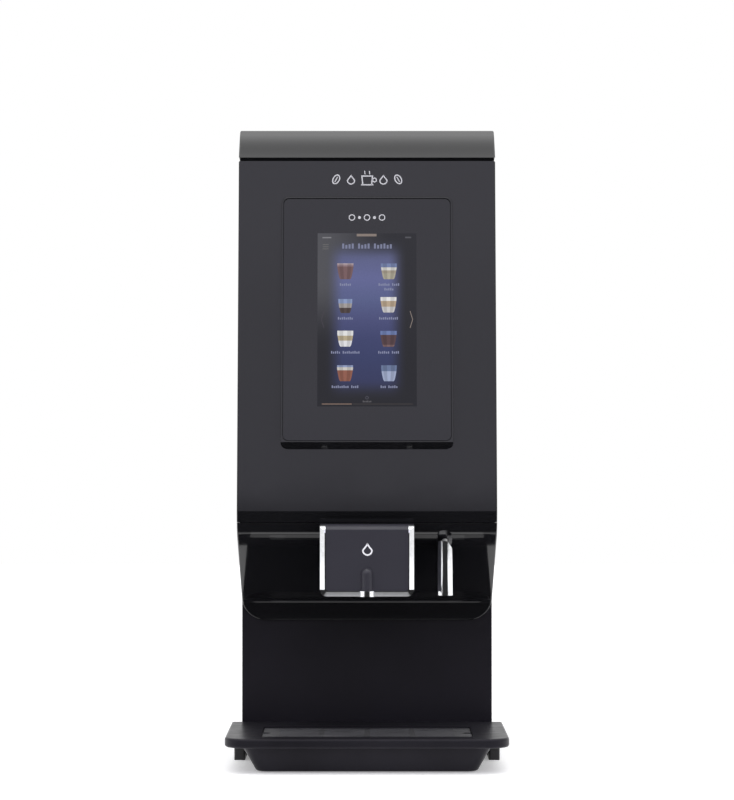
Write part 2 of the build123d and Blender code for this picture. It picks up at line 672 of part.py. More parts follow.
def nozzle_block():
    """Block over the opening in the scoop that holds the three drink nozzles."""
    seat = block((-40, 40), (84, 104), (200, NOZZLE_BLOCK_TOP_Z)) & side_prism(FRONT_INNER, -60, 60)
    seat += block((-34, 34), (84, 104), (212, NOZZLE_BLOCK_TOP_Z))
    for x in nozzle_places():
        seat += rod_z(NOZZLE_RADIUS, x, NOZZLE_D, NOZZLE_LOW_Z, 220)
    for x in nozzle_places():
        seat -= rod_z(NOZZLE_BORE, x, NOZZLE_D, NOZZLE_LOW_Z - 1, NOZZLE_BLOCK_TOP_Z + 1)
    return seat


def nozzle_places():
    """X of each drink nozzle."""
    return [(index - 1) * NOZZLE_PITCH for index in range(len(PRODUCTS))]


def hot_water_outlet():
    """Bright sleeve around the hot water pipe, with a sloping rounded top."""
    half = OUTLET_WIDTH / 2
    plan = Pos(OUTLET_X, fwd((OUTLET_REAR_D + OUTLET_FRONT_D) / 2)) * RectangleRounded(
        OUTLET_WIDTH, OUTLET_FRONT_D - OUTLET_REAR_D, half - 0.4)
    sleeve = extrude(Plane.XY.offset(OUTLET_LOW_Z) * plan, amount=OUTLET_TOP_Z - OUTLET_LOW_Z)
    view = make_face(Polyline([(OUTLET_X - half, OUTLET_LOW_Z), (OUTLET_X + half, OUTLET_LOW_Z),
                               (OUTLET_X + half, OUTLET_TOP_Z - 8), (OUTLET_X + half - 6, OUTLET_TOP_Z),
                               (OUTLET_X - half, OUTLET_TOP_Z)], close=True))
    view = fillet(view.vertices().filter_by(lambda v: v.Y > OUTLET_LOW_Z + 1), 3.2)
    sleeve &= front_prism(view, 90, 130)
    sleeve -= side_prism(FRONT_OUTER, -HALF, HALF)
    sleeve -= rod_z(half - 2.2, OUTLET_X, OUTLET_D + 2.6, OUTLET_LOW_Z - 1, OUTLET_LOW_Z + 9)
    return sleeve - rod_z(TUBE_RADIUS + 0.6, OUTLET_X, OUTLET_D, OUTLET_LOW_Z - 1, 240)


# ---- drip tray ----
def basin_section(half, rear_d, front_d, z, corner):
    """Rounded rectangle of the basin at a height."""
    middle = (rear_d + front_d) / 2
    return Plane.XY.offset(z) * (Pos(0, fwd(middle)) * RectangleRounded(2 * half, front_d - rear_d, corner))


def drip_tray():
    """Basin that tapers down under the tray plate."""
    rim_z = TRAY_PLATE_Z
    outer = loft([basin_section(BASIN_HALF_LOW, 14, 150, BASIN_LOW_Z, 12),
                  basin_section(BASIN_HALF_TOP, 6, 156, rim_z, 16)])
    outer = fillet(outer.edges().group_by(Axis.Z)[0], 3.0)
    slope = (BASIN_HALF_TOP - BASIN_HALF_LOW) / (rim_z - BASIN_LOW_Z)
    floor_z = BASIN_LOW_Z + BASIN_WALL
    low_half = BASIN_HALF_LOW - BASIN_WALL + slope * BASIN_WALL
    inner = loft([basin_section(low_half, 17, 147.5, floor_z, 10),
                  basin_section(BASIN_HALF_TOP - BASIN_WALL, 8.5, 153.5, rim_z + 0.01, 14)])
    return outer - inner


def tray_plate():
    """Wide plate over the basin, with the recess that the grille drops into."""
    middle = (TRAY_REAR_D + TRAY_FRONT_D) / 2
    outline = Rectangle(TRAY_WIDTH, TRAY_FRONT_D - TRAY_REAR_D)
    outline = fillet(outline.vertices().sort_by(Axis.Y)[:2], TRAY_CORNER)
    outline = Pos(0, fwd(middle)) * outline
    plate = extrude(Plane.XY.offset(TRAY_PLATE_Z) * outline, amount=TRAY_TOP_Z - TRAY_PLATE_Z)
    plate = fillet(plate.faces().sort_by(Axis.Z)[-1].edges(), TRAY_EDGE)
    plate = fillet(plate.faces().sort_by(Axis.Z)[0].edges(), TRAY_EDGE)
    recess = block((-GRILLE_HALF, GRILLE_HALF), (GRILLE_REAR_D, GRILLE_FRONT_D), (30.5, 40))
    recess += block((-GRILLE_HALF + 5, GRILLE_HALF - 5), (GRILLE_REAR_D + 5, GRILLE_FRONT_D - 5), (20, 40))
    return plate - recess


SLOT_ROWS = 9
SLOT_COLUMNS = 4
SLOT_WIDTH = 3.6
SLOT_WEB = 5.0


def drip_grille():
    """Pressed metal grille with rows of drain slots and a finger notch at each end."""
    half = GRILLE_HALF - 0.6
    top = TRAY_TOP_Z - GRILLE_DROP
    middle = (GRILLE_REAR_D + GRILLE_FRONT_D) / 2
    depth = GRILLE_FRONT_D - GRILLE_REAR_D - 1.2
    sheet = Pos(0, fwd(middle), top - 1.2) * Box(2 * half, depth, 2.4)
    sheet = sheet + Pos(0, fwd(middle), 31.2) * (Box(2 * half, depth, 1.4) - Box(2 * half - 4, depth - 4, 2))
    row_pitch = (depth - 8) / SLOT_ROWS
    column_pitch = (2 * half - 28) / SLOT_COLUMNS
    for row in range(SLOT_ROWS):
        y = fwd(middle) + (row - (SLOT_ROWS - 1) / 2) * row_pitch
        for column in range(SLOT_COLUMNS):
            x = (column - (SLOT_COLUMNS - 1) / 2) * column_pitch
            sheet -= Pos(x, y, top - 2) * Box(column_pitch - SLOT_WEB, SLOT_WIDTH, 8)
    for side in (-1, 1):
        sheet -= Pos(side * half, fwd(middle), top - 2) * Cylinder(8, 10)
    return sheet


# ---- ingredient canisters ----
def trough_view(inset):
    """Front view of a canister: straight sides, sloping shoulders and a round trough."""
    half = CANISTER_HALF - inset
    radius = TROUGH_RADIUS - inset
    hopper = make_face(Polyline([(-half, CANISTER_TOP_Z), (-half, TROUGH_Z + 46), (-radius, TROUGH_Z),
                                 (radius, TROUGH_Z), (half, TROUGH_Z + 46), (half, CANISTER_TOP_Z)],
                                close=True))
    return hopper + Pos(0, TROUGH_Z) * Circle(radius)


def canister(x):
    """Ingredient canister standing on its two end plates, open at the top."""
    body = front_prism(Pos(x, 0) * trough_view(0), CANISTER_REAR_D, CANISTER_FRONT_D)
    for rear in (CANISTER_REAR_D, CANISTER_FRONT_D - CANISTER_WALL):
        body += block((x - CANISTER_HALF + 4, x + CANISTER_HALF - 4), (rear, rear + CANISTER_WALL),
                      (CANISTER_LOW_Z, TROUGH_Z + 46))
    body -= front_prism(Pos(x, 0) * trough_view(CANISTER_WALL), CANISTER_REAR_D + CANISTER_WALL,
                        CANISTER_FRONT_D - CANISTER_WALL)
    body -= block((x - CANISTER_HALF + CANISTER_WALL, x + CANISTER_HALF - CANISTER_WALL),
                  (CANISTER_REAR_D + CANISTER_WALL, CANISTER_FRONT_D - CANISTER_WALL),
                  (CANISTER_TOP_Z - 10, CANISTER_TOP_Z + 1))
    body -= rod_y(AUGER_SHAFT + RUN_FIT, x, TROUGH_Z, CANISTER_REAR_D - 1, CANISTER_REAR_D + 5)
    return body - rod_y(TROUGH_RADIUS - CANISTER_WALL, x, TROUGH_Z, CANISTER_FRONT_D - 5, CANISTER_FRONT_D + 1)


def canister_lids():
    """Plug-in lid of each canister, with a finger ridge."""
    lids = []
    inner = CANISTER_HALF - CANISTER_WALL - GAP
    for x in product_places():
        lid = block((x - CANISTER_HALF, x + CANISTER_HALF), (CANISTER_REAR_D, CANISTER_FRONT_D),
                    (CANISTER_TOP_Z, CANISTER_TOP_Z + 3))
        rear = CANISTER_REAR_D + CANISTER_WALL + GAP
        front = CANISTER_FRONT_D - CANISTER_WALL - GAP
        plug = block((x - inner, x + inner), (rear, front), (CANISTER_TOP_Z - 7, CANISTER_TOP_Z))
        plug -= block((x - inner + 1.5, x + inner - 1.5), (rear + 1.5, front - 1.5),
                      (CANISTER_TOP_Z - 8, CANISTER_TOP_Z))
        lid += plug
        lid += block((x - 3, x + 3), (front - 40, front - 6), (CANISTER_TOP_Z + 3, CANISTER_TOP_Z + 10))
        lids.append(lid)
    return solids_of(lids)


def auger(x):
    """Dosing screw: a driven shaft with slanted flights."""
    screw = rod_y(AUGER_SHAFT, x, TROUGH_Z, BULKHEAD_D - 16, CANISTER_FRONT_D + 10)
    turns = int((CANISTER_FRONT_D - CANISTER_REAR_D - 30) / AUGER_LEAD)
    for index in range(2 * turns):
        d = CANISTER_REAR_D + 14 + index * AUGER_LEAD / 2
        lean = 18 if index % 2 else -18
        flight = Pos(x, fwd(d), TROUGH_Z) * Rot(90 + lean, 0, 0) * Cylinder(AUGER_RADIUS - 1.0, 1.6)
        screw += flight
    return screw


def auger_motors():
    """Gear motors behind the bulkhead, one for each auger."""
    motors = []
    rear = BULKHEAD_D - SHEET
    for x in product_places():
        body = block((x - 24, x + 24), (rear - 26, rear), (TROUGH_Z - 20, TROUGH_Z + 24))
        body = fillet(body.edges().filter_by(Axis.Y), 5)
        body += rod_y(15, x, TROUGH_Z + 6, rear - 58, rear - 26)
        body -= rod_y(AUGER_SHAFT + RUN_FIT, x, TROUGH_Z, rear - 18, rear + 1)
        motors.append(body)
    return solids_of(motors)


def outlet_elbows():
    """Powder outlets that turn down from each canister towards its mixer."""
    elbows = []
    for x in product_places():
        elbow = rod_y(ELBOW_RADIUS, x, TROUGH_Z, CANISTER_FRONT_D, ELBOW_FRONT_D)
        elbow = fillet(elbow.edges().sort_by(Axis.Y)[0], 4)
        elbow += rod_z(CHUTE_RADIUS, x, CHUTE_D, CHUTE_LOW_Z, TROUGH_Z)
        elbow -= rod_y(ELBOW_RADIUS - 1.5, x, TROUGH_Z, CANISTER_FRONT_D - 1, ELBOW_FRONT_D - 2)
        elbow -= rod_z(CHUTE_RADIUS - 1.5, x, CHUTE_D, CHUTE_LOW_Z - 1, TROUGH_Z)
        elbows.append(elbow)
    return solids_of(elbows)


# ---- mixers ----
SPIGOT_D = 50.0
SPIGOT_LOW_Z = 256.0


def mixing_bowl(x):
    """Funnel bowl over a whipper chamber, with an outlet spigot below."""
    chamber_rear = MIXER_PLATE_D + 0.2
    bowl = rod_z(BOWL_RADIUS, x, BOWL_D, 316, BOWL_TOP_Z)
    bowl += Pos(x, fwd(BOWL_D), 300.5) * Cone(14, BOWL_RADIUS, 31)
    bowl += rod_y(CHAMBER_RADIUS, x, MIXER_Z, chamber_rear, BOWL_D)
    bowl += rod_z(6, x, SPIGOT_D, SPIGOT_LOW_Z, MIXER_Z)
    bowl -= rod_z(BOWL_RADIUS - 2, x, BOWL_D, 316, BOWL_TOP_Z + 1)
    bowl -= Pos(x, fwd(BOWL_D), 300.5) * Cone(12, BOWL_RADIUS - 2, 31)
    bowl -= rod_y(CHAMBER_RADIUS - 2, x, MIXER_Z, chamber_rear + 2, BOWL_D - 2)
    bowl -= rod_z(NOZZLE_BORE, x, SPIGOT_D, SPIGOT_LOW_Z - 1, MIXER_Z)
    return bowl - rod_y(WHIPPER_SHAFT + RUN_FIT, x, MIXER_Z, 20, chamber_rear + 3)


def whipper(x):
    """Mixer impeller on its shaft, which plugs into the motor."""
    wheel = rod_y(WHIPPER_SHAFT, x, MIXER_Z, 8, 44)
    wheel += rod_y(WHIPPER_RADIUS, x, MIXER_Z, 36, 38)
    for index in range(6):
        blade = Pos(0, 0, 9) * Box(1.6, 7, 8)
        wheel += Pos(x, fwd(41.4), MIXER_Z) * Rot(0, index * 60, 0) * blade
    return wheel


def whipper_motors():
    """Mixer motors on the rear of the mixer plate."""
    motors = []
    rear = MIXER_PLATE_D - 2
    for x in product_places():
        motor = rod_y(MOTOR_RADIUS, x, MIXER_Z, rear - 48, rear)
        motor = fillet(motor.edges().sort_by(Axis.Y)[-1], 3)
        motor += block((x - 22, x + 22), (rear - 2, rear), (MIXER_Z - 7, MIXER_Z + 7))
        motor -= rod_y(WHIPPER_SHAFT + RUN_FIT, x, MIXER_Z, rear - 16, rear + 1)
        motors.append(motor)
    return solids_of(motors)


def product_hoses():
    """Hoses from the mixer spigots to the drink nozzles."""
    hoses = []
    level = 240.0
    for x, nozzle_x in zip(product_places(), nozzle_places()):
        route = [(x, SPIGOT_D, SPIGOT_LOW_Z), (x, SPIGOT_D, level), (nozzle_x, NOZZLE_D, level),
                 (nozzle_x, NOZZLE_D, NOZZLE_BLOCK_TOP_Z)]
        hoses.append(tube(route, HOSE_RADIUS, [7.0, 4.5], bore=HOSE_RADIUS - 1.2))
    return solids_of(hoses)


# ---- water ----
def valve_places():
    """X of the dosing valves: one for each mixer and one for hot water."""
    return product_places() + [HOT_TUBE_X]


def water_valves():
    """Solenoid valves in a row behind the bulkhead, joined by their manifold."""
    row = rod_x(5, VALVE_FRONT_D - 24, TUBE_Z - 18, -90, 114)
    for x in valve_places():
        row += block((x - 9, x + 9), (VALVE_FRONT_D - 30, VALVE_FRONT_D), (TUBE_Z - 22, TUBE_Z + 8))
        row += rod_y(8, x, TUBE_Z - 8, VALVE_FRONT_D - 56, VALVE_FRONT_D - 30)
    return row


def water_tubes():
    """Tubes from the valves to the three bowls and down to the hot water outlet."""
    tubes = []
    for x in product_places():
        route = [(x, VALVE_FRONT_D, TUBE_Z), (x, 44, TUBE_Z), (x, 44, BOWL_TOP_Z + 2)]
        tubes.append(tube(route, TUBE_RADIUS, [6.0]))
    drop_d, level = -80.0, 232.0
    route = [(HOT_TUBE_X, VALVE_FRONT_D, TUBE_Z), (HOT_TUBE_X, drop_d, TUBE_Z), (HOT_TUBE_X, drop_d, level),
             (HOT_TUBE_X, 70, level), (OUTLET_X, OUTLET_D, level + 2), (OUTLET_X, OUTLET_D, OUTLET_LOW_Z + 12)]
    tubes.append(tube(route, TUBE_RADIUS, [15.0, 15.0, 18.0, 8.0]))
    return solids_of(tubes)


BOILER_LOW_Z = 60.0
BOILER_TOP_Z = 300.0


def boiler():
    """Insulated boiler on three legs, with its flange and heater terminals."""
    tank = rod_z(BOILER_RADIUS, BOILER_X, BOILER_D, BOILER_LOW_Z, BOILER_TOP_Z)
    tank = fillet(tank.edges().sort_by(Axis.Z)[0], 8)
    tank += rod_z(BOILER_RADIUS + 5, BOILER_X, BOILER_D, BOILER_TOP_Z, BOILER_TOP_Z + 6)
    for x, d in ((-30, 18), (30, 18), (0, -34)):
        tank += rod_z(5, BOILER_X + x, BOILER_D + d, BASE_Z + SHEET, BOILER_LOW_Z + 9)
    for x in (-16, 16):
        tank += rod_z(4, BOILER_X + x, BOILER_D - 10, BOILER_TOP_Z, BOILER_TOP_Z + 18)
    return tank


def inlet_valve():
    """Mains water valve inside the rear panel."""
    body = block((INLET_X - 14, INLET_X + 14), (-CABINET_DEPTH + 2, -CABINET_DEPTH + 34),
                 (SERVICE_Z - 14, SERVICE_Z + 14))
    body += rod_z(11, INLET_X, -CABINET_DEPTH + 20, SERVICE_Z + 14, SERVICE_Z + 38)
    return body + rod_y(INLET_RADIUS - 1.7, INLET_X, SERVICE_Z, REAR_D, -CABINET_DEPTH + 2)


def water_inlet():
    """Three-quarter inch inlet nipple outside the rear panel."""
    nipple = rod_y(INLET_RADIUS, INLET_X, SERVICE_Z, REAR_D - INLET_REACH, REAR_D)
    return nipple - rod_y(INLET_BORE, INLET_X, SERVICE_Z, REAR_D - INLET_REACH - 1, REAR_D - 1)


def copper_pipes():
    """Pipes from the inlet valve to the boiler's foot and from its top to the valves."""
    valve_d = -CABINET_DEPTH + 34
    cold = [(INLET_X, valve_d, SERVICE_Z), (INLET_X, valve_d + 16, SERVICE_Z),
            (BOILER_X, BOILER_D - 10, 40), (BOILER_X, BOILER_D, 40), (BOILER_X, BOILER_D, BOILER_LOW_Z)]
    riser_d = BOILER_D + 20
    level = TUBE_Z - 18
    hot = [(BOILER_X, riser_d, BOILER_TOP_Z + 6), (BOILER_X, riser_d, level),
           (BOILER_X, VALVE_FRONT_D - 29.2, level)]
    return solids_of([tube(cold, 3.0, [7.0, 4.0, 4.0]), tube(hot, 4.0, [12.0])])


# ---- power and control ----
def power_inlet():
    """Module with the mains inlet, its three flat pins and the frame of the mains switch."""
    inlet = block((ROCKER_X - 13, POWER_X + 17), (REAR_D - 2.5, REAR_D), (SERVICE_Z - 13.5, SERVICE_Z + 13.5))
    inlet = fillet(inlet.edges().filter_by(Axis.Y), 4)
    inlet += block((POWER_X - 13.7, POWER_X + 13.7), (REAR_D, REAR_D + 18), (SERVICE_Z - 10.2, SERVICE_Z + 10.2))
    inlet += block((ROCKER_X - 9.4, ROCKER_X + 9.4), (REAR_D, REAR_D + 18), (SERVICE_Z - 6.4, SERVICE_Z + 6.4))
    inlet -= block((ROCKER_X - 8, ROCKER_X + 8), (REAR_D - 3, REAR_D + 12), (SERVICE_Z - 5, SERVICE_Z + 5))
    inlet -= block((POWER_X - 12, POWER_X + 12), (REAR_D - 3, REAR_D + 14), (SERVICE_Z - 8, SERVICE_Z + 8))
    for x, z in ((-7, -2), (0, 2), (7, -2)):
        inlet += block((POWER_X + x - 1, POWER_X + x + 1), (REAR_D - 0.5, REAR_D + 15),
                       (SERVICE_Z + z - 2, SERVICE_Z + z + 2))
    return inlet


ROCKER_TILT = 8.0
ROCKER_PIVOT_D = REAR_D + 4.0


def power_rocker():
    """Rocker key, shown tilted to its off side."""
    half, root, crest = 7.0, -3.5, 5.0
    outline = [(-half, root), (half, root), (half, crest), (0, crest - 1.2), (-half, crest)]
    key = extrude(make_face(Polyline(outline, close=True)), amount=4.6, both=True)
    key += Cylinder(2.2, 9.8) + Pos(0, root - 1) * Box(3, 4, 6)
    return Pos(ROCKER_X, fwd(ROCKER_PIVOT_D), SERVICE_Z) * Rot(0, 0, ROCKER_TILT) * key


def power_supply():
    """Closed power supply box on the base plate."""
    box = block((14, 116), (-290, -190), (BASE_Z + SHEET, 46))
    box = fillet(box.edges().filter_by(Axis.Z), 2)
    for index in range(8):
        x = 30 + index * 10
        box -= block((x, x + 4), (-270, -210), (44.5, 47))
    return box


def control_board():
    """Main control board on spacers behind the bulkhead."""
    rear = BULKHEAD_D - SHEET
    board = block((-100, 100), (rear - 7.6, rear - 6), (450, 590))
    for x in (-92, 92):
        for z in (458, 582):
            board += rod_y(3, x, z, rear - 6, rear)
    chips = ((-60, 560, 30, 12, 14), (20, 555, 60, 16, 12), (-10, 500, 28, 28, 3),
             (50, 490, 18, 18, 16), (-70, 490, 20, 40, 18), (75, 540, 14, 50, 12))
    for x, z, width, height, deep in chips:
        board += block((x - width / 2, x + width / 2), (rear - 7.6 - deep, rear - 7.6),
                       (z - height / 2, z + height / 2))
    return board


def fan_frame():
    """Square frame of the exhaust fan, inside the rear panel."""
    half = FAN_SIZE / 2
    rear = -CABINET_DEPTH
    frame = block((FAN_X - half, FAN_X + half), (rear, rear + 15), (FAN_Z - half, FAN_Z + half))
    frame = fillet(frame.edges().filter_by(Axis.Y), 4)
    frame -= rod_y(half - 2, FAN_X, FAN_Z, rear - 1, rear + 13)
    frame -= rod_y(half - 2, FAN_X, FAN_Z, rear + 12, rear + 16)
    spider = rod_y(10, FAN_X, FAN_Z, rear + 12.5, rear + 15)
    for index in range(4):
        arm = Pos(half / 2 + 3, 0, 0) * Box(half - 4, 2.5, 3)
        spider += Pos(FAN_X, fwd(rear + 13.7), FAN_Z) * Rot(0, 45 + 90 * index, 0) * arm
    return frame + spider + rod_y(1.5, FAN_X, FAN_Z, rear + 6, rear + 13)


def fan_rotor():
    """Fan hub with seven slanted blades."""
    rear = -CABINET_DEPTH
    rotor = rod_y(9, FAN_X, FAN_Z, rear + 2, rear + 11.5)
    for index in range(7):
        blade = Pos(0, 0, 17) * Rot(0, 0, 35) * Box(11, 1.4, 18)
        rotor += Pos(FAN_X, fwd(rear + 6.7), FAN_Z) * Rot(0, index * 360 / 7, 0) * blade
    return rotor - rod_y(1.5 + RUN_FIT, FAN_X, FAN_Z, rear + 5, rear + 12)


# ---- door lock ----
def lock_body():
    """Flanged lock sleeve in the door's right side wall."""
    sleeve = rod_x(LOCK_SLEEVE, LOCK_D, LOCK_Z, CAM_X + 3.2, HALF)
    sleeve += rod_x(LOCK_SLEEVE + 2.5, LOCK_D, LOCK_Z, HALF, HALF + 1.5)
    return sleeve - rod_x(LOCK_PLUG + RUN_FIT, LOCK_D, LOCK_Z, CAM_X, HALF + 2)


def lock_cam():
    """Lock plug with its key slot and the cam arm, shown unlocked with the arm to the rear."""
    plug = rod_x(LOCK_PLUG, LOCK_D, LOCK_Z, CAM_X, HALF + 1.7)
    plug -= block((HALF - 4, HALF + 2), (LOCK_D - 3.5, LOCK_D + 3.5), (LOCK_Z - 0.9, LOCK_Z + 0.9))
    arm = block((CAM_X, CAM_X + 2.5), (LOCK_D - CAM_LENGTH, LOCK_D), (LOCK_Z - 5, LOCK_Z + 5))
    return plug + arm + rod_x(LOCK_PLUG + 1, LOCK_D, LOCK_Z, CAM_X, CAM_X + 2.5)


def lock_strike():
    """Catch on the cabinet whose lip stands in front of the cam once that points down."""
    arm = block((117.4, 119.4), (-30, LOCK_D + 10), (LOCK_Z - 26, LOCK_Z - 16))
    arm += block((106, 119.4), (LOCK_D + 8, LOCK_D + 10), (LOCK_Z - 26, LOCK_Z - 16))
    return arm + block((117.4, HALF - SHEET), (-30, -28), (LOCK_Z - 34, LOCK_Z - 8))


def nodes():
    """Every sub-part of the machine by name."""
    parts = {
        "base_plate": base_plate(),
        "side_panel_left": side_panel(-1),
        "side_panel_right": side_panel(1),
        "rear_panel": rear_panel(),
        "rear_screws": rear_screws(),
        "roof_cap": roof_cap(),
        "lower_front_panel": lower_front_panel(),
        "feet": feet(),
        "tray_rails": tray_rails(),
        "bulkhead": bulkhead(),
        "canister_shelf": canister_shelf(),
        "dispense_head": dispense_head(),
        "spout_cover": spout_cover(),
        "spout_trim": spout_trim(),
        "nozzle_block": nozzle_block(),
        "hot_water_outlet": hot_water_outlet(),
        "hinge_brackets": hinge_brackets(),
        "hinge_pins": hinge_pins(),
        "hinge_bushes": hinge_bushes(),
        "door_shell": door_shell(),
        "screen_bezel": screen_bezel(),
        "touch_glass": touch_glass(),
        "display_module": display_module(),
        "display_board": display_board(),
        "display_cover": display_cover(),
        "lock_body": lock_body(),
        "lock_cam": lock_cam(),
        "lock_strike": lock_strike(),
        "drip_tray": drip_tray(),
        "tray_plate": tray_plate(),
        "drip_grille": drip_grille(),
        "canister_lids": canister_lids(),
        "auger_motors": auger_motors(),
        "outlet_elbows": outlet_elbows(),
        "whipper_motors": whipper_motors(),
        "product_hoses": product_hoses(),
        "water_valves": water_valves(),
        "water_tubes": water_tubes(),
        "boiler": boiler(),
        "copper_pipes": copper_pipes(),
        "inlet_valve": inlet_valve(),
        "water_inlet": water_inlet(),
        "power_inlet": power_inlet(),
        "power_rocker": power_rocker(),
        "power_supply": power_supply(),
        "control_board": control_board(),
        "fan_frame": fan_frame(),
        "fan_rotor": fan_rotor(),
    }
    for product, x in zip(PRODUCTS, product_places()):
        parts["canister_" + product] = canister(x)
        parts["auger_" + product] = auger(x)
    for place, x in zip(("left", "middle", "right"), product_places()):
        parts["mixing_bowl_" + place] = mixing_bowl(x)
        parts["whipper_" + place] = whipper(x)
    return parts


os.makedirs("parts", exist_ok=True)
for name, shape in nodes().items():
    export_step(shape, os.path.join("parts", name + ".step"))
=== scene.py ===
import bmesh
import bpy
import json
from math import atan, cos, pi, radians, sin, tan
from mathutils import Matrix, Vector


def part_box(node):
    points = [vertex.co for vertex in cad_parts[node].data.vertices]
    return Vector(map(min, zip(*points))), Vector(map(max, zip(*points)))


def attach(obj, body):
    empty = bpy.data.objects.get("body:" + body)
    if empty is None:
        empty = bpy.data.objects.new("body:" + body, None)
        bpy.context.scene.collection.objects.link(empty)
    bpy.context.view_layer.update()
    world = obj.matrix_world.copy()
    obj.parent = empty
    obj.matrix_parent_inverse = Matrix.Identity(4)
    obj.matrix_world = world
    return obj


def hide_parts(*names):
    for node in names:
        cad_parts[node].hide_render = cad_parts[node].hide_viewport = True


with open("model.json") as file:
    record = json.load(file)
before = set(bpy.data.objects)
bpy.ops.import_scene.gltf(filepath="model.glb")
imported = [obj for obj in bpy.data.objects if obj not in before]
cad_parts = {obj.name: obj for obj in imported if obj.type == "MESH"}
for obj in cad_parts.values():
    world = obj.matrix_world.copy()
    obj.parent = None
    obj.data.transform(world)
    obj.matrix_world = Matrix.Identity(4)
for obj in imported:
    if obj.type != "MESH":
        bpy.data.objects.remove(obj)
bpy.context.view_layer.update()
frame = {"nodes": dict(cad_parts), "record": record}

# Sizes in metres. X is across the machine, the front faces -Y and Z is up.
MM = 0.001
PANEL_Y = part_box("lower_front_panel")[0].y


def fwd(distance):
    """Y of the plane this far in front of the lower front panel."""
    return PANEL_Y - distance


# ---- camera ----
CAMERA_AWAY = 2.90
CAMERA_HEIGHT = 0.338
CAMERA_LENS = 125.3
CAMERA_PITCH = 0.617
CAMERA_REACH = 20


def make_camera():
    """Long lens far in front of the machine, a little above its middle."""
    data = bpy.data.cameras.new("front_camera")
    data.lens = CAMERA_LENS
    data.clip_end = CAMERA_REACH
    camera = bpy.data.objects.new("front_camera", data)
    camera.location = (0, fwd(CAMERA_AWAY), CAMERA_HEIGHT)
    camera.rotation_euler = (radians(90 + CAMERA_PITCH), 0, 0)
    bpy.context.scene.collection.objects.link(camera)
    bpy.context.scene.camera = camera


make_camera()
bpy.context.scene.view_settings.view_transform = "Standard"


# ---- node helpers for the materials ----
class Shader:
    """A material with its Principled shader and short calls that add nodes to it."""

    def __init__(self, name, **values):
        self.material = bpy.data.materials.new(name)
        self.material.use_nodes = True
        self.tree = self.material.node_tree
        self.main = self.tree.nodes["Principled BSDF"]
        self.place = self.add("ShaderNodeTexCoord").outputs["Object"]
        for key, value in values.items():
            self.main.inputs[key.replace("_", " ")].default_value = value

    def add(self, kind, **settings):
        node = self.tree.nodes.new(kind)
        for key, value in settings.items():
            setattr(node, key, value)
        return node

    def link(self, source, target):
        self.tree.links.new(source, target)

    def noise(self, scale, detail=2.0, stretch=None, rough=0.5):
        """Noise over the object's own coordinates, stretched along chosen directions."""
        node = self.add("ShaderNodeTexNoise")
        node.inputs["Scale"].default_value = scale
        node.inputs["Detail"].default_value = detail
        node.inputs["Roughness"].default_value = rough
        place = self.place
        if stretch:
            mapping = self.add("ShaderNodeMapping")
            mapping.inputs["Scale"].default_value = stretch
            self.link(place, mapping.inputs["Vector"])
            place = mapping.outputs["Vector"]
        self.link(place, node.inputs["Vector"])
        return node.outputs["Fac"]

    def spread(self, source, low, high, start=0.3, end=0.7):
        """Stretch the middle part of a 0 to 1 value over a range of numbers."""
        node = self.add("ShaderNodeMapRange")
        limits = {"From Min": start, "From Max": end, "To Min": low, "To Max": high}
        for key, value in limits.items():
            node.inputs[key].default_value = value
        self.link(source, node.inputs["Value"])
        return node.outputs["Result"]

    def ramp(self, source, *stops):
        """Colours along a 0 to 1 value, from (place, colour) stops."""
        node = self.add("ShaderNodeValToRGB")
        points = node.color_ramp.elements
        while len(points) < len(stops):
            points.new(0.5)
        for point, (place, colour) in zip(points, stops):
            point.position = place
            point.color = (*colour, 1)
        self.link(source, node.inputs["Fac"])
        return node.outputs["Color"]

    def bump(self, source, strength, distance):
        """Small relief on the surface."""
        node = self.add("ShaderNodeBump")
        node.inputs["Strength"].default_value = strength
        node.inputs["Distance"].default_value = distance
        self.link(source, node.inputs["Height"])
        self.link(node.outputs["Normal"], self.main.inputs["Normal"])

    def feed(self, source, socket):
        self.link(source, self.main.inputs[socket])


BLACK = (0, 0, 0, 1)
# Fine relief of the finishes: how tight each pattern is, and its depth in metres.
GRAIN_SCALE = 2600
GRAIN_DEPTH = 0.00006
DUST_SCALE = 1400
DUST_LIFT = 0.006
WAVE_DEPTH = 0.0002
LINE_DEPTH = 0.00004


def moulded(name, base, rough, grain=0.0, spread=0.04, tint=0.25, sheen=0.5, sheen_tint=(1, 1, 1)):
    """Moulded plastic: slight colour drift, uneven sheen and, where asked, a fine grain."""
    shader = Shader(name, Specular_IOR_Level=sheen, Specular_Tint=(*sheen_tint, 1))
    drift = shader.noise(9, 3)
    low = [value * (1 - tint) for value in base]
    high = [value * (1 + tint) for value in base]
    shader.feed(shader.ramp(drift, (0.3, low), (0.7, high)), "Base Color")
    cloud = shader.noise(60, 4)
    shader.feed(shader.spread(cloud, rough - spread, rough + spread), "Roughness")
    if grain:
        shader.bump(shader.noise(GRAIN_SCALE, 2), grain, GRAIN_DEPTH)
    return shader.material


def gloss_plastic(name, base, rough):
    """Deep gloss plastic with a faint moulding wave, soft smears and fine dust."""
    shader = Shader(name, IOR=1.5)
    smear = shader.noise(14, 4, rough=0.6)
    shader.feed(shader.spread(smear, rough * 0.7, rough * 1.6, 0.35, 0.75), "Roughness")
    dust = shader.noise(DUST_SCALE, 2)
    speck = [value + DUST_LIFT for value in base]
    shader.feed(shader.ramp(dust, (0.62, base), (0.80, speck)), "Base Color")
    shader.bump(shader.noise(30, 2), 0.05, WAVE_DEPTH)
    return shader.material


